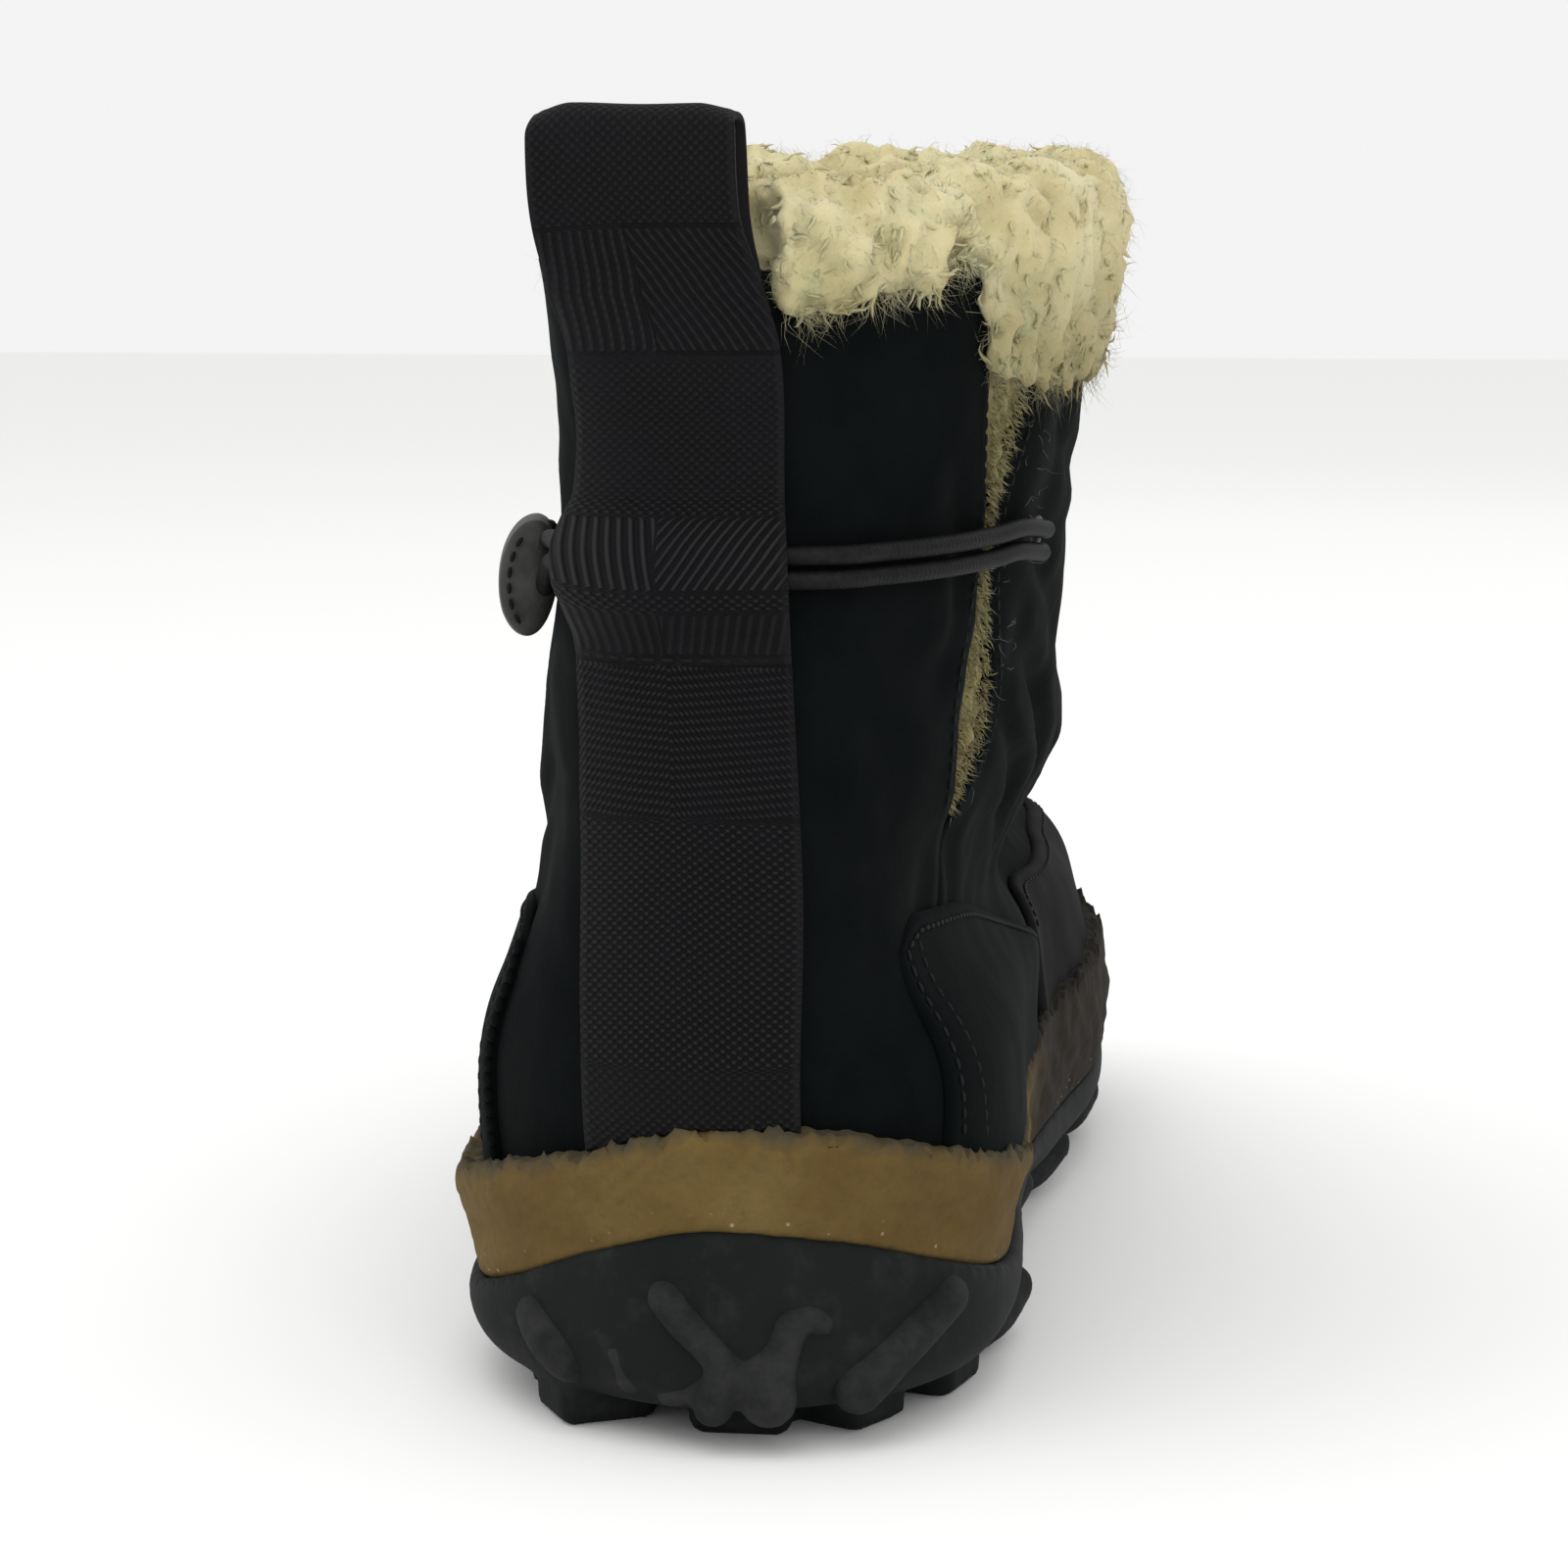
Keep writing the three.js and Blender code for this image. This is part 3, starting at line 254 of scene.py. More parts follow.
def ripple(points, scale, seed, waves=14):
    """A smooth uneven field of about -1 to 1 whose swells are scale millimetres long"""
    random = np.random.default_rng(seed)
    total = np.zeros(points.shape[:-1])
    for _ in range(waves):
        way = unit(random.normal(size=3)) * 2 * np.pi / (scale * random.uniform(0.7, 1.6))
        total += np.sin(points @ way + random.uniform(0, 2 * np.pi))
    return total / math.sqrt(waves) * 1.2


def bent_grid(name, columns, rows, place, wrap=False):
    """A grid whose corners (u, v) from 0 to 1 are carried to place(u, v) in millimetres; place may
    also give named values, which the grid keeps at its corners for the material"""
    shape = bmesh.new()
    shape.loops.layers.uv.new("UVMap")
    bmesh.ops.create_grid(shape, x_segments=columns, y_segments=rows, size=0.5, calc_uvs=True)
    corners = np.array([v.co for v in shape.verts]) + 0.5
    made = place(corners[:, 0], corners[:, 1])
    points, values = made if isinstance(made, tuple) else (made, {})
    for key, column in values.items():
        layer = shape.verts.layers.float.new(key)
        for corner, value in zip(shape.verts, column):
            corner[layer] = float(value)
    for corner, point in zip(shape.verts, points * MM):
        corner.co = point
    if wrap:
        bmesh.ops.remove_doubles(shape, verts=shape.verts, dist=2e-6)
        bmesh.ops.recalc_face_normals(shape, faces=shape.faces)
    return shape


def piece(name, shape, *materials, slot=None, replaces=()):
    """The finished bmesh as an object that rides on the boot"""
    mesh = bpy.data.meshes.new(name)
    shape.to_mesh(mesh)
    shape.free()
    for material in materials:
        mesh.materials.append(material)
    mesh.shade_smooth()
    thing = bpy.data.objects.new(name, mesh)
    bpy.context.scene.collection.objects.link(thing)
    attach(thing, "root")
    if replaces:
        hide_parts(*replaces)
    return thing


def thickened(thing, thickness):
    """Gives a sheet its thickness, inwards from the face that was drawn"""
    wall = thing.modifiers.new("wall", "SOLIDIFY")
    wall.thickness = thickness * MM
    wall.offset = -1.0


def finish(name, roughness, **sockets):
    """A principled material; sockets are its further inputs, with _ for a space"""
    material = bpy.data.materials.new(name)
    material.use_nodes = True
    shader = material.node_tree.nodes["Principled BSDF"]
    shader.inputs["Roughness"].default_value = roughness
    for socket, value in sockets.items():
        shader.inputs[socket.replace("_", " ")].default_value = value
    return material


def node(material, kind, inputs=(), **settings):
    made = material.node_tree.nodes.new("ShaderNode" + kind)
    for name, value in settings.items():
        setattr(made, name, value)
    for name, value in dict(inputs).items():
        if isinstance(value, bpy.types.NodeSocket):
            material.node_tree.links.new(value, made.inputs[name])
        else:
            made.inputs[name].default_value = value
    return made


def millimetres(material):
    """The piece's own coordinates in millimetres"""
    where = node(material, "TexCoord").outputs["Object"]
    return node(material, "Mapping", {"Vector": where, "Scale": (1000.0, 1000.0, 1000.0)}).outputs[0]


def mottle(material, scale, detail=4.0, rough=0.55):
    """Noise on the piece's own coordinates, from 0 to 1; scale is in swells to the millimetre"""
    noise = node(material, "TexNoise", {"Vector": millimetres(material), "Scale": scale,
                                        "Detail": detail, "Roughness": rough})
    return noise.outputs[0]


def ramp(material, value, *stops):
    """Colour ramp through stops of (position, colour)"""
    made = node(material, "ValToRGB", {"Fac": value})
    elements = made.color_ramp.elements
    while len(elements) < len(stops):
        elements.new(0.5)
    for element, (position, colour) in zip(elements, stops):
        element.position = position
        element.color = (*colour, 1.0)
    return made.outputs[0]


def blended(material, share_of_second, first, second):
    made = node(material, "Mix", data_type="RGBA")
    for socket, value in ((made.inputs[0], share_of_second), (made.inputs[6], first),
                          (made.inputs[7], second)):
        if isinstance(value, bpy.types.NodeSocket):
            material.node_tree.links.new(value, socket)
        else:
            socket.default_value = value if isinstance(value, float) else (*value, 1.0)
    return made.outputs[2]


def grey(material, value, low, high):
    """A value between two bounds stretched to run from 0 to 1"""
    made = node(material, "MapRange", {"Value": value, "From Min": low, "From Max": high})
    return made.outputs[0]


def worked(material, operation, first, second):
    """Arithmetic on two values"""
    return node(material, "Math", {0: first, 1: second}, operation=operation).outputs[0]


def swing(material, value, period):
    """A wave of the value between -1 and 1"""
    turns = worked(material, "MULTIPLY", value, 2 * math.pi / period)
    return node(material, "Math", {0: turns}, operation="COSINE").outputs[0]


def kept_value(material, name):
    """A value that the piece's corners keep"""
    return node(material, "Attribute", attribute_name=name).outputs["Fac"]


def own_axis(material, axis=2):
    """One of the piece's own coordinates in millimetres: its height, or another axis"""
    return node(material, "SeparateXYZ", {"Vector": millimetres(material)}).outputs[axis]


def coloured(material, colour):
    shader = material.node_tree.nodes["Principled BSDF"]
    material.node_tree.links.new(colour, shader.inputs["Base Color"])


def bumped(material, *layers):
    """Bump from layers of (height, strength, distance in millimetres), coarse ones first"""
    normal = None
    for height, strength, distance in layers:
        inputs = {"Height": height, "Strength": strength, "Distance": distance * MM}
        if normal:
            inputs["Normal"] = normal
        normal = node(material, "Bump", inputs).outputs[0]
    shader = material.node_tree.nodes["Principled BSDF"]
    material.node_tree.links.new(normal, shader.inputs["Normal"])


suede = finish("suede", 0.95, Sheen_Weight=0.015, Sheen_Roughness=0.4,
               Sheen_Tint=(0.75, 0.9, 0.9, 1.0), Specular_IOR_Level=0.04)
nap = mottle(suede, 0.055, 6.0, rough=0.65)
suede_base = ramp(suede, nap, (0.32, (0.0018, 0.0027, 0.0029)), (0.6, (0.0036, 0.0046, 0.0048)))
low_down = grey(suede, own_axis(suede), 75, 30)
specks = grey(suede, mottle(suede, 0.9, 5.0, rough=0.75), 0.60, 0.80)
dust = worked(suede, "MULTIPLY", low_down, specks)
coloured(suede, blended(suede, dust, suede_base, (0.012, 0.013, 0.0125)))
bumped(suede, (mottle(suede, 0.12, 3.0), 0.25, 1.2), (mottle(suede, 1.7, 4.0, rough=0.7), 0.35, 0.22))

# Each crease: its side (1 inner, -1 outer), places from the heel and heights along it, width and depth
CREASES = [
    {"side": 1, "run": ((33, 128), (36, 118), (37, 106), (34, 96)), "wide": 5.0, "deep": 0.9},
    {"side": 1, "run": ((20, 108), (30, 103), (38, 100)), "wide": 6.0, "deep": 0.7},
    {"side": 1, "run": ((62, 101), (76, 96), (92, 84), (101, 66)), "wide": 6.0, "deep": 1.8},
    {"side": 1, "run": ((55, 95), (66, 88), (80, 78), (92, 66)), "wide": 5.0, "deep": 1.3},
    {"side": 1, "run": ((60, 120), (70, 112), (86, 104)), "wide": 6.0, "deep": 1.1},
    {"side": 1, "run": ((64, 137), (74, 130), (92, 124)), "wide": 6.0, "deep": 0.8},
    {"side": 1, "run": ((46, 78), (52, 70), (55, 58)), "wide": 4.5, "deep": 0.8},
    {"side": 1, "run": ((118, 84), (126, 74), (128, 62)), "wide": 6.0, "deep": 1.4},
    {"side": 1, "run": ((134, 80), (140, 70), (142, 60)), "wide": 5.0, "deep": 1.1},
    {"side": 1, "run": ((158, 74), (160, 66), (158, 58)), "wide": 5.0, "deep": 0.9},
    {"side": -1, "run": ((44, 112), (50, 102), (52, 92)), "wide": 6.0, "deep": 0.8},
    {"side": -1, "run": ((60, 118), (76, 108), (96, 100)), "wide": 6.5, "deep": 1.2},
    {"side": -1, "run": ((66, 100), (84, 90), (100, 76), (110, 62)), "wide": 6.0, "deep": 1.5},
    {"side": -1, "run": ((36, 88), (44, 80), (52, 74)), "wide": 5.0, "deep": 0.6},
    {"side": -1, "run": ((122, 88), (130, 78), (134, 64)), "wide": 6.0, "deep": 1.3},
    {"side": -1, "run": ((142, 82), (150, 72), (152, 60)), "wide": 5.0, "deep": 1.0},
    {"side": -1, "run": ((166, 74), (168, 66), (164, 58)), "wide": 5.0, "deep": 0.8},
]


def stroke(row):
    """A crease's line on the upper as close points, and the share of the way along each"""
    place, z = (np.array(c, float) for c in zip(*row["run"]))
    knots = np.linspace(0, 1, len(place))
    t = np.linspace(0, 1, 24)
    return on_upper(row["side"], along(knots, place, t), along(knots, z, t)), t


def creased(points):
    """How far each point of the upper sinks in by the creases and stands out beside them"""
    depth = np.zeros(len(points))
    for row in CREASES:
        line, t = stroke(row)
        near = np.abs(points[:, None, 1:] - line[None, :, 1:]).max(-1).min(-1) < 3 * row["wide"]
        gap = np.linalg.norm(points[near, None] - line[None], axis=-1)
        closest = gap.argmin(1)
        fade = np.sin(np.pi * np.clip(t[closest] * 0.9 + 0.05, 0, 1)) ** 0.7
        r = gap.min(1) / row["wide"]
        depth[near] += row["deep"] * fade * (np.exp(-4 * r * r) - 0.45 * np.exp(-2.5 * (r - 1.1) ** 2))
    return depth


SHELL_EDGE = {"across": 340, "wide": 4.0, "deep": 0.5, "proudest": 0.9}


def upper_shell(u, v):
    front = slit_angle(v, "front")
    rear = slit_angle(v, "rear") + 2 * np.pi
    angle = front + (rear - front) * u
    point = upper_point(angle, v)
    normal = upper_normal(angle, v)
    calm = smooth_step(v, 0.12, 0.3)
    swell = 0.35 * ripple(point, 26, 3) + 0.14 * ripple(point, 9, 4)
    from_slit = np.minimum(u, 1 - u) * SHELL_EDGE["across"] / SHELL_EDGE["wide"]
    edge = np.exp(-from_slit ** 2) * smooth_step(point[:, 2], 80, 92)
    out = calm * (swell - creased(point)) - SHELL_EDGE["deep"] * edge
    return point + normal * np.minimum(out, SHELL_EDGE["proudest"])[:, None]


shell = bent_grid("upper", SHELL["columns"], SHELL["rows"], upper_shell)
upper = piece("suede_upper", shell, suede, slot="suede", replaces=["upper"])
thickened(upper, WALL)

# The strap: one length of black polyester webbing, sewn up the heel, passed over as a pull loop and
# sewn down again at the collar. It is a weave of thick floats, which turns from zone to zone.
SIDE = {
    "along": (0.0, 0.02, 0.06, 0.12, 0.20, 0.35, 0.50, 0.68, 0.85, 1.0),
    "outerSeam": (29, 25, 19, 14.5, 13.5, 14, 15, 16, 19, 25),
    "innerSeam": (29, 27, 23, 18.5, 15, 14.5, 15.5, 16, 19, 25),
    "outerRim": (44.5, 40, 35.5, 31.5, 31, 31.5, 34, 36, 38, 42),
    "innerRim": (44.5, 43, 39.5, 35, 32, 31.5, 34, 36, 38, 42),
}
SIDE_ANGLE = np.arccos(1 - 2 * np.array(SIDE["along"]))
STRAP_MIDDLE = {
    "z": (44, 80, 110, 125, 146, 160, 178),
    "x": (-3.2, -4.2, -5.6, -5.6, -5.4, -8.9, -10.2),
    "width": (28.6, 28.6, 28.2, 27.4, 26.4, 26.8, 27.0),
}
LOOP_FLAT = {"from": 148, "to": 164}
STRAP_LOW = 32.0
STRAP_GRID = {"columns": 100, "rows": 460}
STRAP_PATH = {
    "off": (0.3, 0.9, 0.9, 1.2, 3.6, 5.6, 5.8, 3.8, 1.4, 0.9, 1.2, 2.4, 3.0, 4.6, 7.6, 8.4, 7.2,
            3.3, -0.7, -1.7, -0.8, 0.6, 0.8),
    "z": (STRAP_LOW, 50, 98, 106.5, 111.3, 115, 120, 124, 127, 132, 137, 142, 149, 157, 164, 170,
          175.4, 177, 175.4, 170, 163, 157.5, 151),
}


def side_height(angle, name):
    half = np.arccos(np.clip(np.cos(angle), -1, 1))
    inner = along(SIDE_ANGLE, SIDE["inner" + name], half, True)
    outer = along(SIDE_ANGLE, SIDE["outer" + name], half, True)
    return np.where(np.sin(angle) >= 0, inner, outer)


def strap_row(step):
    """Distance from the upper and height along the webbing, as even steps of its length"""
    knots = np.arange(len(STRAP_PATH["z"]))
    t = np.linspace(0, knots[-1], 2000)
    off = along(knots, STRAP_PATH["off"], t)
    z = along(knots, STRAP_PATH["z"], t)
    run = np.concatenate([[0], np.cumsum(np.hypot(np.diff(off), np.diff(z)))])
    want = step * run[-1]
    return np.interp(want, run, off), np.interp(want, run, z), want, run[-1]


def strap_sheet():
    """The upper's surface under the strap, sampled on a coarse net of width and height"""
    parts = np.linspace(-0.5, 0.5, 25)
    heights = np.linspace(STRAP_LOW, COLLAR_LOW - 1, 90)
    part, z = np.meshgrid(parts, heights, indexing="ij")
    x = along(STRAP_MIDDLE["z"], STRAP_MIDDLE["x"], z) + part * along(
        STRAP_MIDDLE["z"], STRAP_MIDDLE["width"], z)
    short = lambda m: upper_point(m, level_at(m, z))[..., 0] < x
    angle = found(np.full(z.shape, -1.2), np.full(z.shape, 1.2), short, 18)
    level = level_at(angle, z)
    rim = side_height(angle[:, 6], "Rim")
    return upper_point(angle, level), upper_normal(angle, level), rim, len(parts) - 1, heights


STRAP_BASE, STRAP_NORMAL, STRAP_RIM, STRAP_ACROSS, STRAP_HEIGHTS = strap_sheet()


def strap_point(part, z, distance):
    """A point off the strap's line: part of its width from -0.5 to 0.5, height and distance"""
    def read(net):
        i = np.clip((part + 0.5) * STRAP_ACROSS, 0, STRAP_ACROSS - 1e-6)
        span = STRAP_HEIGHTS[1] - STRAP_HEIGHTS[0]
        j = np.clip((np.minimum(z, COLLAR_LOW - 1) - STRAP_LOW) / span, 0, len(STRAP_HEIGHTS) - 1.001)
        i0, j0 = i.astype(int), j.astype(int)
        s, t = (i - i0)[:, None], (j - j0)[:, None]
        return ((net[i0, j0] * (1 - s) + net[i0 + 1, j0] * s) * (1 - t)
                + (net[i0, j0 + 1] * (1 - s) + net[i0 + 1, j0 + 1] * s) * t)
    way = unit(read(STRAP_NORMAL) * np.array([0.4, 1.0, 1.0]))
    point = read(STRAP_BASE) + way * distance[:, None]
    point[:, 2] += z - np.minimum(z, COLLAR_LOW - 1)
    flat = smooth_step(z, LOOP_FLAT["from"], LOOP_FLAT["to"])
    middle = along(STRAP_MIDDLE["z"], STRAP_MIDDLE["x"], z)
    width = along(STRAP_MIDDLE["z"], STRAP_MIDDLE["width"], z)
    spine = STRAP_BASE[STRAP_ACROSS // 2, -1, 1] - distance
    point[:, 1] += flat * (spine - point[:, 1])
    point[:, 0] += flat * (middle + part * width - point[:, 0])
    return point


STRAP_EDGES = {
    "at": (0, 0.82, 0.85, 0.97, 1.0),
    "part": (-0.5, 0.5, 0.5, -0.5, -0.5),
    "face": (1, 1, -1, -1, 1),
}
STRAP_HALF_THICK = 0.8
STRAP_SEAT = 0.9
STRAP_TAIL = 27
STRAP_DIVE = 1.4
WEAVE = {"across": 1.42, "along": 1.2, "width": 29, "blend": 0.35, "zigzag_middle": 96.0, "vee_at": -1.5,
         "lean_at": -2.0}
WEAVE_ZONES = [
    {"top": 52, "relief": 0.45, "strokes": 0, "lean": 0, "vee": 0},
    {"top": 84, "relief": 0.95, "strokes": 0, "lean": 0, "vee": 0.12},
    {"top": 104.6, "relief": 1.0, "strokes": 0, "lean": 0, "vee": 0.75},
    {"top": 106, "relief": 0, "strokes": 0, "lean": 0, "vee": 0},
    {"top": 112.6, "relief": 0.3, "strokes": 1, "lean": 0.25, "vee": 0},
    {"top": 115.4, "relief": 1.0, "strokes": 0, "lean": 0, "vee": 0},
    {"top": 124.4, "relief": 1.25, "strokes": 1, "lean": 1, "vee": 0},
    {"top": 126.6, "relief": 0.9, "strokes": 0, "lean": 0, "vee": 0},
    {"top": 144.8, "relief": 0.4, "strokes": 0, "lean": 0, "vee": 0},
    {"top": 146, "relief": 0, "strokes": 0, "lean": 0, "vee": 0},
    {"top": 163, "relief": 0.65, "strokes": 0.7, "lean": -0.6, "vee": 0.5},
    {"top": 500, "relief": 0.4, "strokes": 0, "lean": 0, "vee": 0},
]


def weave_zones(z, front):
    """The values of the weave's zones at each point, each eased into the next one"""
    read = {name: np.zeros(len(z)) for name in ("relief", "strokes", "lean", "vee")}
    bottom = -1e9
    for zone in WEAVE_ZONES:
        ease = WEAVE["blend"]
        top = zone["top"]
        inside = smooth_step(z, bottom - ease, bottom + ease) - smooth_step(z, top - ease, top + ease)
        for name in read:
            read[name] += inside * zone[name]
        bottom = zone["top"]
    read["relief"] = np.where(front, read["relief"], 0.35)
    return read


def strap_face(u, v):
    off, z, run, whole = strap_row(v)
    steps = np.linspace(0, 1, 1200)
    path_off, path_z, _, _ = strap_row(steps)
    slope_off, slope_z = np.gradient(path_off), np.gradient(path_z)
    length = np.hypot(slope_off, slope_z)
    out = np.interp(v, steps, slope_z / length)
    up = np.interp(v, steps, -slope_off / length)
    part = np.interp(u, STRAP_EDGES["at"], STRAP_EDGES["part"])
    face = np.interp(u, STRAP_EDGES["at"], STRAP_EDGES["face"])
    front = run < whole - STRAP_TAIL
    at_top = smooth_step(z, 174.5, 178.6) * smooth_step(np.abs(part), 0.3, 0.5)
    x = part * WEAVE["width"]
    read = weave_zones(z, front)
    rounded = 1 - smooth_step(np.abs(part), 0.455, 0.5) * 0.35
    high = STRAP_HALF_THICK * face * rounded + 0.12 * (face > 0) * ripple(np.stack([x, run, z], -1), 16, 15)
    rim = np.interp(part, np.linspace(-0.5, 0.5, STRAP_ACROSS + 1), STRAP_RIM)
    shown = np.where(front, smooth_step(z, rim - 2.5, rim + 0.8), 1)
    distance = (off + STRAP_SEAT + out * high + STRAP_DIVE) * shown - STRAP_DIVE
    point = strap_point(part * (1 - 0.05 * at_top), z + up * high - 1.3 * at_top, distance)
    slant = np.where(x < WEAVE["lean_at"], 0.15, -0.75) * read["lean"]
    middle = run - WEAVE["zigzag_middle"]
    values = {
        "warp_at": x + slant * middle, "row_at": run + read["vee"] * np.abs(x - WEAVE["vee_at"]),
        "strokes": read["strokes"], "relief": read["relief"] * (face > 0.5),
        "edge": smooth_step(np.abs(part), 0.462, 0.48),
    }
    return point, values


webbing = finish("webbing", 0.75, Specular_IOR_Level=0.10)
warps = swing(webbing, kept_value(webbing, "warp_at"), WEAVE["across"])
wefts = swing(webbing, kept_value(webbing, "row_at"), WEAVE["along"])
strokes = kept_value(webbing, "strokes")
wefts_kept = worked(webbing, "MULTIPLY", wefts, worked(webbing, "SUBTRACT", 1.0, strokes))
floats = worked(webbing, "MULTIPLY", warps, worked(webbing, "ADD", wefts_kept, strokes))
relief = kept_value(webbing, "relief")
floats = worked(webbing, "MULTIPLY", floats, relief)
fray = mottle(webbing, 2.4, 3.0)
tone = mottle(webbing, 0.05, 4.0)
# Painted highlight and shade: the floats' tips are painted lighter and the hollows between them darker, mixed
# with a little random fibre tone.
painted_float_light = grey(webbing, worked(webbing, "ADD", floats, worked(webbing, "MULTIPLY", fray, 0.5)), 0.2, 1.35)
webbing_base = blended(webbing, painted_float_light, (0.0026, 0.0026, 0.0031), (0.0215, 0.0210, 0.0225))
selvedge = worked(webbing, "MULTIPLY", kept_value(webbing, "edge"), 0.6)
webbing_base = blended(webbing, selvedge, webbing_base, (0.0100, 0.0100, 0.0110))
faded = worked(webbing, "MULTIPLY", grey(webbing, tone, 0.45, 0.7), 0.4)
coloured(webbing, blended(webbing, faded, webbing_base, (0.0062, 0.0052, 0.0088)))
bumped(webbing, (floats, 0.8, 0.45), (fray, 0.4, 0.2))
strap_net = bent_grid("strap", STRAP_GRID["columns"], STRAP_GRID["rows"], strap_face, wrap=True)
piece("webbing_strap", strap_net, webbing, slot="webbing", replaces=["heel_strap"])

# The midsole: a band of tan foam skin glued round the upper, with a rough upper edge like raw felt
# and a plate under the foot. Its side swells out between the seam and the rim.
HEEL_BREAST = 78.0
TREAD_START = 148.0
SPRING_START = 205.0
ARCH_RISE = 4.5
TOE_SPRING = 9.0
LUG = 4.5
OUTSOLE_FLOOR = 8.8


def ground(place):
    spring = TOE_SPRING * (np.clip(place - SPRING_START, 0, None) / (LENGTH - SPRING_START)) ** 1.8
    t = np.clip((place - HEEL_BREAST) / (TREAD_START - HEEL_BREAST), 0, 1)
    return spring + ARCH_RISE * np.sin(np.pi * t) ** 2


def plan_point(angle):
    return np.stack([plan_width(angle) + TOE_TIP_X * share(angle) ** 2, LENGTH * share(angle)], -1)


def sole_point(angle, heel, fore, z):
    """A point of the sole's side, in from its plan by one distance at the heel, one at the forefoot"""
    step = 0.02
    run = unit(plan_point(angle + step) - plan_point(angle - step))
    inset = heel + (fore - heel) * smooth_step(share(angle), 0.25, 0.6)
    p = plan_point(angle)
    x = p[..., 0] - run[..., 1] * inset
    y = p[..., 1] + run[..., 0] * inset - HEEL_CENTRE
    return np.stack(np.broadcast_arrays(x, y, z), -1)


def rim_wave(angle):
    """The rim's own scallops, as it was trimmed"""
    return (0.35 * np.sin(angle * 61 + 2 * np.sin(angle * 7)) + 0.25 * np.sin(angle * 149 + 1)
            + 0.8 * np.sin(angle * 9 + 0.6) * smooth_step(np.abs(np.sin(angle)), 0.1, 0.4))


def midsole_rows(angle):
    """Rings of the midsole from the middle of its underside out, up, over the rim and in again"""
    g = ground(plan_point(angle)[..., 1])
    seam = side_height(angle, "Seam") + GAP
    rim = side_height(angle, "Rim") + rim_wave(angle) * 0.5
    mid = lambda t: seam + (rim - seam) * t
    edge = [
        sole_point(angle, 7, 5.2, g + OUTSOLE_FLOOR + GAP), sole_point(angle, 5.7, 3.9, seam - 1.5),
        sole_point(angle, 4.6, 3.0, seam), sole_point(angle, 3.2, 1.9, mid(0.05)),
        sole_point(angle, 2.6, 1.4, mid(0.2)), sole_point(angle, 1.9, 1.1, mid(0.42)),
        sole_point(angle, 1.1, 1.2, mid(0.62)), sole_point(angle, 0.3, 1.5, mid(0.82)),
        sole_point(angle, 0.4, 2.0, mid(0.95)), sole_point(angle, 1.3, 3.0, mid(1.0)),
    ]
    rim_level = level_at(angle, rim - 0.8)
    inside = upper_offset(angle, rim_level, np.full(angle.shape, 0.5))
    low = upper_offset(angle, np.full(angle.shape, 0.02), np.full(angle.shape, 0.5))
    low[..., 2] = upper_point(angle, 0.0)[..., 2] - 0.4
    return edge + [inside * 0.35 + edge[-1] * 0.65, inside, low]


def closed_in(ring, part):
    """A ring drawn in to its middle line by a share"""
    middle = ring.copy()
    middle[..., 0] = 0.0
    return ring * (1 - part) + middle * part


def midsole_net(columns):
    angle = np.linspace(0, 2 * np.pi, columns + 1)
    rings = midsole_rows(angle)
    rings = [closed_in(rings[0], 1.0), *rings, closed_in(rings[-1], 1.0)]
    return np.stack(rings)


MIDSOLE = {"columns": 560, "rows": 64}
SOLE_NET = midsole_net(MIDSOLE["columns"])
SOLE_KNOTS = np.array([0, 8, 10, 11, 12, 16, 24, 32, 40, 44, 46, 48, 50, 56, 64], float) / 64


def net_read(net, knots, u, v):
    """Reads a stack of rings between its rings and columns"""
    at = np.interp(v, knots, np.arange(len(knots)))
    column = np.rint(u * (net.shape[1] - 1)).astype(int)
    rows = np.arange(len(knots))
    low = np.clip(at.astype(int), 0, len(knots) - 2)
    t = (at - low)[:, None]
    before = net[np.maximum(low - 1, 0), column]
    a, b = net[low, column], net[low + 1, column]
    after = net[np.minimum(low + 2, rows[-1]), column]
    ma, mb = (b - before) / 2, (after - a) / 2
    smooth = ((2 * t**3 - 3 * t**2 + 1) * a + (t**3 - 2 * t**2 + t) * ma
              + (3 * t**2 - 2 * t**3) * b + (t**3 - t**2) * mb)
    return np.where((low == 0)[:, None] | (low >= rows[-1] - 2)[:, None], a + (b - a) * t, smooth)


def midsole_face(u, v):
    point = net_read(SOLE_NET, SOLE_KNOTS, u, v)
    angle = u * 2 * np.pi
    way = np.stack([np.sin(angle), -np.cos(angle), 0 * angle], -1)
    skin = smooth_step(v, 0.17, 0.24) * (1 - smooth_step(v, 0.70, 0.76))
    dent = 0.35 * ripple(point, 22, 21) + 0.16 * ripple(point, 6, 22) + 0.07 * ripple(point, 1.8, 23)
    rim = np.exp(-((v - 0.70) / 0.035) ** 2)
    fuzz = rim * (0.45 * ripple(point, 1.3, 24) + 0.3 * ripple(point, 3.1, 25))
    point = point + way * (skin * dent)[:, None]
    point[:, 2] += fuzz
    return point


foam = finish("foam_skin", 0.85, Specular_IOR_Level=0.12)
patches = mottle(foam, 0.045, 5.0, rough=0.6)
tan = ramp(foam, patches, (0.28, (0.082, 0.048, 0.0135)), (0.5, (0.118, 0.077, 0.0235)),
           (0.72, (0.148, 0.102, 0.036)))
grain = grey(foam, mottle(foam, 0.7, 6.0, rough=0.75), 0.45, 0.75)
tan = blended(foam, worked(foam, "MULTIPLY", grain, 0.5), tan, (0.068, 0.048, 0.021))
foam_height = kept_value(foam, "rim_share")
edge_noise = worked(foam, "ADD", foam_height, worked(foam, "MULTIPLY", mottle(foam, 0.22, 4.0), 0.35))
soiled = grey(foam, edge_noise, 1.03, 1.20)
tan = blended(foam, soiled, tan, (0.050, 0.043, 0.026))
under = grey(foam, foam_height, 0.10, 0.0)
tan = blended(foam, under, tan, (0.014, 0.012, 0.010))
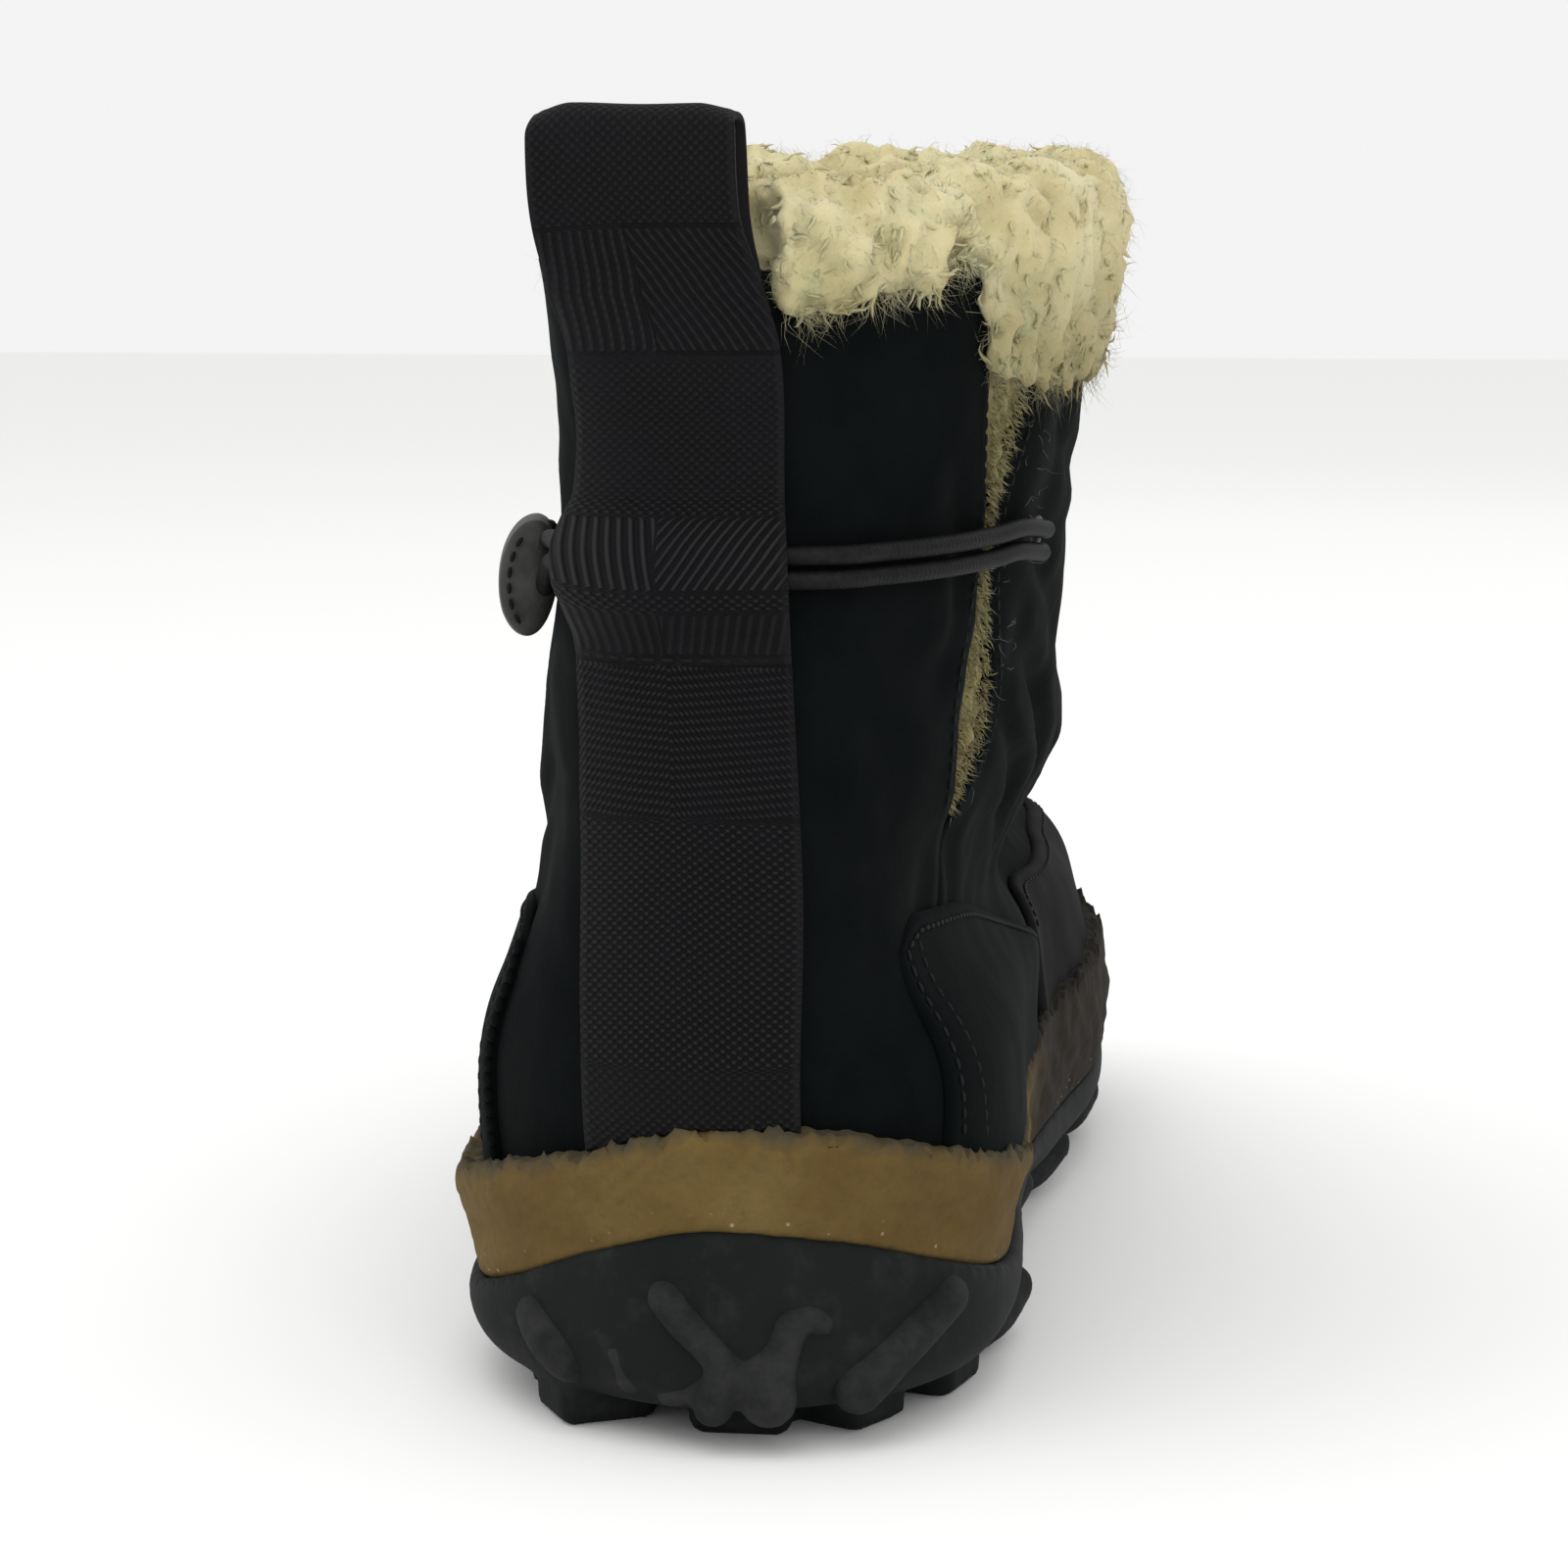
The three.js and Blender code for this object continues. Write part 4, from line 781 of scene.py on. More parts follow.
spots = node(foam, "TexVoronoi", {"Vector": millimetres(foam), "Scale": 0.45}).outputs[0]
speck = worked(foam, "MULTIPLY", grey(foam, spots, 0.16, 0.07), grey(foam, foam_height, 0.34, 0.12))
# The foam darkens towards the front, from 50 to 95 mm forward: partly dirt, partly painted shade on the
# forefoot.
forefoot_shade_and_dirt = grey(foam, own_axis(foam, 1), 50, 95)
tan = blended(foam, worked(foam, "MULTIPLY", forefoot_shade_and_dirt, 0.95), tan, (0.010, 0.008, 0.006))
STAIN = (12.0, -36.5, 39.7)
from_stain = node(foam, "VectorMath", {0: millimetres(foam), 1: STAIN}, operation="DISTANCE").outputs["Value"]
blot = worked(foam, "MULTIPLY", grey(foam, from_stain, 4.2, 1.2), grain)
tan = blended(foam, blot, tan, (0.060, 0.026, 0.006))
coloured(foam, blended(foam, speck, tan, (0.30, 0.25, 0.15)))
bumped(foam, (mottle(foam, 0.35, 5.0, rough=0.7), 0.5, 0.5), (mottle(foam, 2.2, 3.0), 0.4, 0.15))
band = bent_grid("midsole", MIDSOLE["columns"], MIDSOLE["rows"], midsole_face, wrap=True)
midsole = piece("foam_midsole", band, foam, slot="midsole_foam", replaces=["midsole"])


def shares_up_side(thing):
    """Stores how far up the sole's side each point is, from the seam (0) to the rim (1)"""
    mesh = thing.data
    flat = np.empty(len(mesh.vertices) * 3)
    mesh.vertices.foreach_get("co", flat)
    points = flat.reshape(-1, 3) / MM
    table = np.linspace(0, 2 * np.pi, 721)
    outline = plan_point(table)
    outline[:, 1] -= HEEL_CENTRE
    nearest = np.concatenate([np.linalg.norm(part[:, None, :2] - outline[None], axis=-1).argmin(1)
                              for part in np.array_split(points, 40)])
    seam = side_height(table, "Seam")[nearest]
    rim = side_height(table, "Rim")[nearest]
    layer = mesh.attributes.new("rim_share", "FLOAT", "POINT")
    layer.data.foreach_set("value", ((points[:, 2] - seam) / (rim - seam)).astype(np.float32))


shares_up_side(midsole)

# The outsole: moulded dark rubber, a dish under the midsole with a rounded edge, blocks on its tread
# and finger lugs over its edge. The lugs carry more dust. Beads and blocks are melted into rounded forms.
HEEL_BLOCKS = [
    {"place": 21, "across": -19, "width": 14, "length": 13, "turn": 0.5},
    {"place": 17, "across": 2, "width": 14, "length": 11, "turn": 0},
    {"place": 22, "across": 16, "width": 11, "length": 12, "turn": -0.5},
    {"place": 40, "across": -25, "width": 14, "length": 14, "turn": 0.25},
    {"place": 38, "across": 0, "width": 15, "length": 15, "turn": 0.79},
    {"place": 41, "across": 24, "width": 13, "length": 14, "turn": -0.25},
    {"place": 61, "across": -24, "width": 14, "length": 14, "turn": 0},
    {"place": 60, "across": 0, "width": 14, "length": 14, "turn": 0.79},
    {"place": 61, "across": 22, "width": 12, "length": 14, "turn": 0},
]
FORE_ROWS = {"first": 156, "last": 244, "pitch": 22, "across": 26, "edge": 18.5, "width": 15,
             "length": 13, "skew": 0.5, "drop": 5}
VOXEL = 1.0


def outsole_rows(angle):
    g = ground(plan_point(angle)[..., 1])
    seam = side_height(angle, "Seam")
    side_rows = [
        sole_point(angle, 13, 16, g + LUG), sole_point(angle, 6.2, 8.5, g + LUG + 0.6),
        sole_point(angle, 2.8, 4.8, g + LUG + 3.2),
        sole_point(angle, 1.3, 2.0, np.minimum(g + LUG + 7, seam - 2)),
        sole_point(angle, 1.7, 1.9, seam + 0.2), sole_point(angle, 2.6, 2.6, seam + 0.9),
        sole_point(angle, 5.2, 3.6, seam - 0.2), sole_point(angle, 7.2, 5.4, g + OUTSOLE_FLOOR),
    ]
    return side_rows


def outsole_dish(u, v):
    angle = np.linspace(0, 2 * np.pi, 301)
    rings = outsole_rows(angle)
    net = np.stack([closed_in(rings[0], 1.0), *rings, closed_in(rings[-1], 1.0)])
    return net_read(net, np.array([0, 6, 10, 14, 19, 24, 26, 28, 30, 36]) / 36, u, v)


dish = bent_grid("outsole", 300, 36, outsole_dish, wrap=True)
HEEL_LUGS = [
    {"seen": ((176, 1384), (187, 1406), (203, 1428), (214, 1442)),
     "radius": (3.6, 4.2, 4.2, 3.4), "proud": 0.2},
    {"seen": ((318, 1364), (338, 1390), (366, 1420), (380, 1440), (374, 1465), (345, 1490)),
     "radius": (3.2, 3.1, 2.9, 3.0, 3.0, 3.4), "proud": 0.6},
    {"seen": ((453, 1392), (444, 1420), (436, 1450), (430, 1486)),
     "radius": (3.0, 3.1, 3.5, 5.0), "proud": 0.7},
    {"seen": ((455, 1392), (470, 1384), (486, 1390)), "radius": (2.7, 2.5, 2.2), "proud": 0.1},
    {"seen": ((418, 1432), (396, 1452), (362, 1466), (322, 1474)),
     "radius": (2.2, 2.5, 2.6, 2.8), "proud": -0.6},
    {"seen": ((622, 1356), (590, 1392), (556, 1430), (524, 1474)),
     "radius": (4.0, 4.2, 4.3, 4.5), "proud": 0.3},
    {"seen": ((672, 1408), (640, 1444), (606, 1474)), "radius": (4.2, 4.4, 4.4), "proud": 0.2},
    {"seen": ((232, 1490), (262, 1494)), "radius": (6.0, 6.0), "proud": -1.0},
    {"seen": ((150, 1404), (146, 1430), (166, 1462)), "radius": (3.6, 4.0, 4.2), "proud": -0.4},
    {"seen": ((262, 1424), (278, 1462)), "radius": (3.0, 3.6), "proud": -1.2},
]
LUG_SLIM = 0.82
LUG_OUT = 0.3
SIDE_LUGS = {"first": 1.0, "last": 2.8, "count": 6, "lean": 0.05, "radius": 3.4}
PHOTO = {"middle": 800.0, "horizon": 220.0, "focal": 4360.0, "yaw": math.radians(3)}


def seen(x, y):
    """The way from the camera through a point of the photograph's 1600 by 1600 frame"""
    across = (x - PHOTO["middle"]) / PHOTO["focal"]
    down = (y - PHOTO["horizon"]) / PHOTO["focal"]
    c, s = math.cos(PHOTO["yaw"]), math.sin(PHOTO["yaw"])
    return Vector((across * c - s, across * s + c, -down)).normalized()


def struck(tree, x, y):
    """Where that way meets a piece, and the surface's normal there, in millimetres"""
    hit, normal, _, _ = tree.ray_cast(Vector(EYE) * MM, seen(x, y))
    return (np.array(hit) / MM, np.array(normal)) if hit else (None, None)


def beads(shape, centres, radii):
    """Round beads so close together that they melt into one rounded bar"""
    for centre, radius in zip(centres, radii):
        made = bmesh.ops.create_icosphere(shape, subdivisions=2, radius=float(radius) * MM)
        bmesh.ops.translate(shape, verts=made["verts"], vec=Vector(centre) * MM)


def chain(points, radii, per_knot=7):
    points = np.array(points, float)
    knots = np.arange(len(points))
    t = np.linspace(0, knots[-1], per_knot * (len(points) - 1) + 1)
    line = np.stack([along(knots, points[:, k], t) for k in range(3)], -1)
    return line, along(knots, np.array(radii, float), t)


EDGE = {"at": (0, 0.5, 1, 1.5, 2), "heel": (8.5, 5.4, 3.0, 2.0, 2.0), "fore": (12, 7.6, 5.4, 4.4, 4.4),
        "rise": (3.9, 4.8, 7.6, 12, 17.5)}


def edge_point(angle, at):
    angle, at = np.asarray(angle, float), np.asarray(at, float)
    g = ground(plan_point(angle)[..., 1])
    get = {name: along(EDGE["at"], EDGE[name], at) for name in ("heel", "fore", "rise")}
    return sole_point(angle, get["heel"], get["fore"], g + get["rise"])


def block(shape, place, across, width, length, turn):
    made = bmesh.ops.create_cube(shape, size=1.0)
    corners = made["verts"]
    tall = LUG + 1.5
    bmesh.ops.scale(shape, verts=corners, vec=(width * MM, length * MM, tall * MM))
    edges = list({edge for corner in corners for edge in corner.link_edges})
    rounded = bmesh.ops.bevel(shape, geom=edges, offset=1.3 * MM, segments=2, profile=0.5,
                              affect="EDGES", material=-1)
    on_bevel = {v for face in rounded["faces"] for v in face.verts}
    corners = list(on_bevel | {v for v in corners if v.is_valid})
    c, s = math.cos(turn), math.sin(turn)
    for corner in corners:
        x, y, z = corner.co
        corner.co = ((across * MM + x * c - y * s), (place - HEEL_CENTRE) * MM + x * s + y * c,
                     z + (float(ground(np.array(place))) + tall / 2) * MM)


def fore_blocks(shape):
    rows = FORE_ROWS
    for place in range(rows["first"], rows["last"] + 1, rows["pitch"]):
        from_heel = math.acos(1 - 2 * place / LENGTH)
        low = plan_point(np.array(-from_heel))[0] + rows["edge"]
        high = plan_point(np.array(from_heel))[0] - rows["edge"]
        count = max(2, round((high - low) / rows["across"]) + 1)
        for k in range(count):
            part = k / (count - 1)
            turn = rows["skew"] * (1 - 2 * part)
            block(shape, place - rows["drop"] * abs(turn), low + (high - low) * part, rows["width"],
                  rows["length"], turn)


dish_tree = BVHTree.FromBMesh(dish)
lugs = bmesh.new()
for row in HEEL_LUGS:
    spots = []
    for x, y in row["seen"]:
        point, normal = struck(dish_tree, x, y)
        if point is None and len(spots) > 1:
            point = spots[-1][0] + 0.8 * (spots[-1][0] - spots[-2][0])
            normal = spots[-1][1]
        if point is not None:
            spots.append((point, normal))
    if len(spots) > 1:
        radii = row["radius"][:len(spots)]
        radii = [LUG_SLIM * r for r in radii]
        centres = [p + n * (row["proud"] + LUG_OUT - 0.5 * r) for (p, n), r in zip(spots, radii)]
        beads(lugs, *chain(centres, radii))
for hand in (-1, 1):
    for k in range(SIDE_LUGS["count"]):
        lean = SIDE_LUGS["lean"]
        angle = SIDE_LUGS["first"] + (SIDE_LUGS["last"] - SIDE_LUGS["first"]) * k / (SIDE_LUGS["count"] - 1)
        ends = np.array([[angle + lean, 1.0], [angle, 0.5], [angle - lean, 0.1]])
        beads(lugs, *chain(edge_point(hand * ends[:, 0], ends[:, 1]), [SIDE_LUGS["radius"]] * 3))
for row in HEEL_BLOCKS:
    block(dish, row["place"], row["across"], row["width"], row["length"], row["turn"])
fore_blocks(dish)
for corner in [*dish.verts, *lugs.verts]:
    corner.co.z = max(corner.co.z, 0.0)

rubber = finish("rubber", 0.75, Specular_IOR_Level=0.12)
rubber_tone = mottle(rubber, 0.04, 5.0)
dark = ramp(rubber, rubber_tone, (0.3, (0.0045, 0.0056, 0.0058)), (0.7, (0.0080, 0.0092, 0.0092)))
dusty = grey(rubber, mottle(rubber, 0.16, 6.0, rough=0.7), 0.5, 0.72)
dark = blended(rubber, worked(rubber, "MULTIPLY", dusty, 0.5), dark, (0.022, 0.023, 0.021))
coloured(rubber, dark)
bumped(rubber, (mottle(rubber, 0.8, 4.0), 0.3, 0.25), (mottle(rubber, 3.5, 2.0), 0.3, 0.08))
outsole = piece("rubber_outsole", dish, rubber, slot="outsole_rubber", replaces=["outsole"])
dusty_rubber = finish("dusty_rubber", 0.8, Specular_IOR_Level=0.12)
dust = mottle(dusty_rubber, 0.16, 6.0, rough=0.7)
coloured(dusty_rubber, ramp(dusty_rubber, dust, (0.36, (0.0085, 0.0098, 0.0098)),
                            (0.66, (0.0230, 0.0245, 0.0230))))
bumped(dusty_rubber, (mottle(dusty_rubber, 0.8, 4.0), 0.3, 0.25),
       (mottle(dusty_rubber, 3.5, 2.0), 0.3, 0.08))
lug_bars = piece("rubber_lugs", lugs, dusty_rubber, slot="outsole_rubber")
for moulding in (outsole, lug_bars):
    melt = moulding.modifiers.new("melt", "REMESH")
    melt.mode = "VOXEL"
    melt.voxel_size = VOXEL * MM * (1.0 if moulding == outsole else 0.75)
    melt.use_smooth_shade = True
    ease = moulding.modifiers.new("ease", "SMOOTH")
    ease.factor = 0.5
    ease.iterations = 2

# The fleece: cream wool pile, matted into curls. It lines the shaft, rolls over the collar, hangs
# down over the front of the slit and covers the footbed. A lumpy mat carries locks and loose hairs.
FLEECE = {
    "off": (-6.0, -3.4, -1.0, 0.8, 1.2, 2.0, 3.2, 3.6, 1.4, -3.5, -9.5, -11, -8.5),
    "rise": (-12, 0.2, 1.0, 0.6, -0.6, -1.2, 1.8, 5.5, 9.8, 11.5, 7.5, -1, -24),
    "held_off": (-6.0, -3.6, -3.7, -3.8, -3.9, -3.9, -4.0, -4.2, -5, -8, -11, -11, -8.5),
    "held_rise": (-12, -5, -3.5, -2, -0.5, 1, 3, 6, 9, 10, 5.5, -3, -24),
    "hem": (0, 0, 0, 0.4, 1, 1, 0.7, 0.1, 0, 0, 0, 0, 0),
}
HEM = {
    "at": (0, 0.3, 0.5, 0.8, 0.95, 1.1, 1.2, 1.85, 2.2, 6.3),
    "drop": (4.5, 4.5, 3.0, 0.2, 1.0, 13.5, 15, 15, 2, 2),
}
HELD = {"x": -9.0, "inside": 13.5, "outside": 17.5, "behind": 50.0}
MAT = {"around": 460, "up": 84}


def fleece_roll(u, v):
    angle = 2 * np.pi * u
    edge = upper_point(angle, np.ones(angle.shape))
    ahead = np.where(edge[:, 1] > HELD["behind"], HELD["outside"], 0)
    spread = np.maximum(edge[:, 0] - HELD["x"], 0) + ahead
    held = 1 - smooth_step(spread, HELD["inside"], HELD["outside"])
    hem = along(HEM["at"], HEM["drop"], angle) + 0.8 * np.sin(19 * angle) + 0.5 * np.sin(43 * angle)
    knots = np.arange(len(FLEECE["off"]))
    t = v * knots[-1]
    read = {name: along(knots, column, t) for name, column in FLEECE.items()}
    rise = (read["rise"] - read["hem"] * hem) * (1 - held) + read["held_rise"] * held
    off = read["off"] * (1 - held) + read["held_off"] * held
    off = np.where(read["off"] > 1, off * (1 + 0.10 * np.sin(5 * angle) + 0.12 * np.sin(17 * angle)), off)
    level = np.where(rise < 0, level_at(angle, edge[:, 2] + np.minimum(rise, 0)), 1.0)
    point = upper_offset(angle, level, off)
    point[:, 2] = edge[:, 2] + rise
    return point


def fleece_mat(u, v):
    point = fleece_roll(u, v)
    d = 0.004
    across = fleece_roll(u + d, v) - fleece_roll(u - d, v)
    up = fleece_roll(u, np.minimum(v + 0.01, 1)) - fleece_roll(u, np.maximum(v - 0.01, 0))
    normal = unit(np.cross(across, up))
    lumps = 1.0 * ripple(point, 12, 31) + 0.75 * ripple(point, 5.5, 32) + 0.3 * ripple(point, 2.6, 33)
    free = smooth_step(v, 0.12, 0.3)
    return point + normal * (np.clip(lumps, -1.7, 1.5) * free)[:, None]


wool = finish("wool", 0.95, Sheen_Weight=0.12, Sheen_Roughness=0.5, Sheen_Tint=(1.0, 0.97, 0.85, 1.0),
              Specular_IOR_Level=0.15, Subsurface_Weight=0.18, Subsurface_Scale=0.004)
wool_tone = mottle(wool, 0.09, 4.0)
cream = ramp(wool, wool_tone, (0.26, (0.50, 0.43, 0.22)), (0.45, (0.60, 0.535, 0.30)),
             (0.7, (0.67, 0.62, 0.39)))
yellowed = grey(wool, mottle(wool, 0.35, 5.0), 0.56, 0.74)
cream = blended(wool, worked(wool, "MULTIPLY", yellowed, 0.5), cream, (0.52, 0.43, 0.21))
# Painted shade: the wool darkens to olive from 160 mm down to 134 mm and below, for the shade inside the
# shaft and under the roll.
coloured(wool, blended(wool, grey(wool, own_axis(wool), 160, 134), cream, (0.215, 0.190, 0.078)))
bumped(wool, (mottle(wool, 0.5, 6.0, rough=0.7), 0.6, 0.9), (mottle(wool, 2.6, 4.0, rough=0.7), 0.5, 0.3))
roll = bent_grid("fleece", MAT["around"], MAT["up"], fleece_mat, wrap=True)
piece("fleece_roll", roll, wool, slot="fleece", replaces=["fleece_collar"])


def lining_face(u, v):
    front = slit_angle(v, "front")
    rear = slit_angle(v, "rear") + 2 * np.pi
    angle = front + (rear - front) * u
    level = 0.02 + 0.93 * v
    point = upper_point(angle, level)
    pile = 2.0 + 0.6 * ripple(point, 8, 41) + 0.5 * ripple(point, 3.5, 42)
    return point - upper_normal(angle, level) * (WALL + 0.4 + pile)[:, None]


piece("fleece_lining", bent_grid("lining", 150, 70, lining_face), wool, slot="fleece")


def footbed_face(u, v):
    angle = 2 * np.pi * u
    rim = upper_offset(angle, np.full(angle.shape, 0.02), np.full(angle.shape, -WALL - 1.7))
    middle = rim.copy()
    middle[:, 0] = 0.0
    top = np.array([0.0, 0.5, 0.62, 1.0])
    inwards = np.interp(v, top, (1.0, 0.0, 0.0, 1.0))[:, None]
    point = rim * (1 - inwards) + middle * inwards
    base = upper_point(angle, np.zeros(angle.shape))[:, 2]
    upside = smooth_step(v, 0.5, 0.62)
    point[:, 2] = base + upside * (2.9 + 0.5 * ripple(point, 7, 51) + 0.4 * ripple(point, 3, 52))
    return point


piece("fleece_footbed", bent_grid("footbed", 120, 40, footbed_face, wrap=True), wool,
      slot="fleece", replaces=["insole"])


def wisps(name, roots, ways, lengths, widths, droop, curl, seed, segments=3):
    """Tapered three-sided hairs or locks as one mesh, each bent by its droop and its curl"""
    random = np.random.default_rng(seed)
    count = len(roots)
    ways = unit(ways)
    side = unit(np.cross(ways, random.normal(size=(count, 3))))
    other = np.cross(ways, side)
    phase = random.uniform(0, 2 * np.pi, count)
    spins = random.uniform(1.5, 4.0, count)
    rings = []
    for k in range(segments + 1):
        t = k / segments
        wave = curl * lengths * t
        centre = (roots + ways * (lengths * t)[:, None]
                  + side * (wave * np.sin(phase + spins * t))[:, None]
                  + other * (wave * np.cos(phase + spins * t))[:, None])
        centre[:, 2] -= droop * lengths * t * t
        if k == segments:
            rings.append(centre[:, None])
            continue
        radius = (widths * (1 - 0.75 * t) / 2)[:, None, None]
        turn = (np.arange(3) * 2 * np.pi / 3)[None, :, None]
        round_about = np.cos(turn) * side[:, None] + np.sin(turn) * other[:, None]
        rings.append(centre[:, None] + radius * round_about)
    points = np.concatenate(rings, axis=1)
    size = points.shape[1]
    faces = []
    for k in range(segments - 1):
        for j in range(3):
            a, b = 3 * k + j, 3 * k + (j + 1) % 3
            faces += [(a, b, b + 3), (a, b + 3, a + 3)]
    last = 3 * (segments - 1)
    faces += [(last + j, last + (j + 1) % 3, size - 1) for j in range(3)]
    faces += [(0, 2, 1)]
    index = (np.array(faces)[None] + size * np.arange(count)[:, None, None]).reshape(-1, 3)
    mesh = bpy.data.meshes.new(name)
    mesh.vertices.add(count * size)
    mesh.vertices.foreach_set("co", (points.reshape(-1) * MM).astype(np.float32))
    mesh.loops.add(index.size)
    mesh.loops.foreach_set("vertex_index", index.reshape(-1).astype(np.int32))
    mesh.polygons.add(len(index))
    mesh.polygons.foreach_set("loop_start", np.arange(0, index.size, 3, dtype=np.int32))
    mesh.update(calc_edges=True)
    mesh.shade_smooth()
    thing = bpy.data.objects.new(name, mesh)
    bpy.context.scene.collection.objects.link(thing)
    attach(thing, "root")
    return thing


def roll_spots(count, seed, low=0.12, high=0.92):
    """Random spots on the fleece's mat, with the way out of it and the way down along it"""
    random = np.random.default_rng(seed)
    u = random.uniform(0, 1, count)
    v = low + (high - low) * random.beta(1.1, 1.2, count)
    point = fleece_mat(u, v)
    across = fleece_roll(u + 0.004, v) - fleece_roll(u - 0.004, v)
    up = fleece_roll(u, np.minimum(v + 0.01, 1)) - fleece_roll(u, np.maximum(v - 0.01, 0))
    return point, unit(np.cross(across, up)), unit(-up), v, random


PILE = [
    {"name": "fleece_locks", "count": 4200, "seed": 61, "swell": 7, "clumps": (71, 72, 73), "hem": 0.12,
     "out": 0.05, "flow": 0.9, "down": 0.5, "stray": 0.12, "length": (1.4, 2.8), "longer": 0.3, "sunk": 0.25,
     "width": (0.5, 1.0), "droop": 0.1, "curl": 0.3, "bend": 62, "segments": 3},
    {"name": "fleece_hairs", "count": 17500, "seed": 64, "swell": 5, "clumps": (74, 75, 76), "hem": 0.10,
     "out": 0.2, "flow": 0.8, "down": 0.6, "stray": 0.25, "length": (1.8, 4.2), "longer": 0.5, "sunk": 0.3,
     "width": (0.085, 0.085), "droop": 0.2, "curl": 0.5, "bend": 65, "segments": 2},
]
for row in PILE:
    spots_at, out, down, up_share, random = roll_spots(row["count"], row["seed"])
    clump = unit(np.stack([ripple(spots_at, row["swell"], seed) for seed in row["clumps"]], -1))
    flow = unit(clump - out * (clump * out).sum(-1, keepdims=True))
    hem_side = np.exp(-((up_share - 0.40) / row["hem"]) ** 2)[:, None]
    stray = random.normal(size=spots_at.shape) * row["stray"]
    ways = out * row["out"] + flow * row["flow"] + down * (row["down"] * hem_side) + stray
    lengths = random.uniform(*row["length"], len(spots_at)) * (1 + row["longer"] * hem_side[:, 0])
    widths = random.uniform(*row["width"], len(spots_at))
    tufts = wisps(row["name"], spots_at - out * row["sunk"], ways, lengths, widths, row["droop"],
                  row["curl"], row["bend"], segments=row["segments"])
    tufts.data.materials.append(wool)

# The fleece gusset: the same pile behind the slit, standing a little into its opening.
GUSSET = {"low": 74.0, "high": 150.0, "reach": 7.0, "columns": 44, "rows": 130}


def gusset_face(u, v):
    z = GUSSET["low"] + (GUSSET["high"] - GUSSET["low"]) * v
    rear = along(SLIT["z"], SLIT["rear"], np.clip(z, 79, 162))
    front = along(SLIT["z"], SLIT["front"], np.clip(z, 79, 162))
    reach = GUSSET["reach"]
    place = rear - reach + (front - rear + 2 * reach) * u
    half = (front - rear) / 2 + 0.6
    swell = np.clip(1 - ((place - (rear + front) / 2) / half) ** 2, 0, 1)
    standing = swell * smooth_step(z, 80, 88) * np.clip(half / 3, 0.2, 1)
    point = on_upper(1, place, z)
    angle = angle_at(1, place, z)
    normal = upper_normal(angle, level_at(angle, z))
    off = -WALL - 0.8 + 2.0 * standing + standing * 0.5 * ripple(point, 3.2, 81)
    return point + normal * off[:, None]


gusset_net = bent_grid("gusset", GUSSET["columns"], GUSSET["rows"], gusset_face)
gusset = piece("fleece_gusset_pile", gusset_net, wool, slot="fleece", replaces=["fleece_gusset"])
thickened(gusset, 2.5)
random = np.random.default_rng(82)
z = random.uniform(81, 148, 1500)
rear = along(SLIT["z"], SLIT["rear"], z)
front = along(SLIT["z"], SLIT["front"], z)
place = rear + (front - rear) * random.uniform(0.06, 0.94, len(z))
roots = on_upper(1, place, z, -0.9)
stray_y = random.normal(size=len(z)) * 0.5
stray_z = -0.5 + random.normal(size=len(z)) * 0.5
ways = np.stack([np.full(len(z), 0.75), stray_y, stray_z], -1)
lengths = random.uniform(0.8, 2.2, len(z))
widths = random.uniform(0.15, 0.4, len(z))
tufts = wisps("gusset_hairs", roots, ways, lengths, widths, 0.3, 0.4, 83, segments=2)
tufts.data.materials.append(wool)

# The side overlays: a second layer of suede on each quarter, its rear edge sewn down with two rows,
# and on the outer side bound with a thick overcast seam.
FOXING = {
    "outer": {"side": -1, "place": (29.5, 60, 95, 128), "top": (69, 67, 61, 54), "corner": 4.0},
    "inner": {"side": 1, "place": (24.0, 60, 95, 124), "top": (69, 66, 58, 51), "corner": 5.0},
}
FOXING_THICK = 1.0
FOXING_FOOT = 40.0


def foxing_spot(row, forward, up):
    """A point of an overlay, by its share forward from its rear edge and its share up"""
    places, tops = np.array(row["place"], float), np.array(row["top"], float)
    top = along(places, tops, places[0] + (places[-1] - places[0]) * forward)
    lean = np.where(forward < 0.12, (0.12 - forward) / 0.12, 0) * 4.0
    place = places[0] + (places[-1] - places[0]) * forward - lean * (1 - up)
    corner = row["corner"] * np.maximum(0, 1 - 10 * forward) ** 2
    angle = angle_at(row["side"], place, (top + FOXING_FOOT) / 2)
    low = side_height(angle, "Rim") - 1.5
    z = low + (top - corner - low) * up
    return angle, level_at(angle, z)


def foxing_face(row):
    def face(u, v):
        forward = u if row["side"] > 0 else 1 - u
        angle, level = foxing_spot(row, forward, v)
        edge = np.minimum(forward * 90, (1 - v) * 32)
        groove = 0.25 * np.exp(-((edge - 2.0) / 0.5) ** 2)
        off = 0.25 + FOXING_THICK * np.clip(edge / 0.9, 0, 1) ** 0.5 - groove
        point = upper_point(angle, level)
        return point + upper_normal(angle, level) * (off + 0.06 * ripple(point, 14, 91))[:, None]
    return face


for name, row in FOXING.items():
    net = bent_grid(name, 150, 44, foxing_face(row))
    panel = piece(name + "_quarter", net, suede, slot="suede", replaces=[name + "_foxing"])
    thickened(panel, 0.9)

thread = finish("black_thread", 0.7, Base_Color=(0.0062, 0.0066, 0.0072, 1.0), Specular_IOR_Level=0.12)
bumped(thread, (mottle(thread, 3.0, 2.0), 0.5, 0.1))


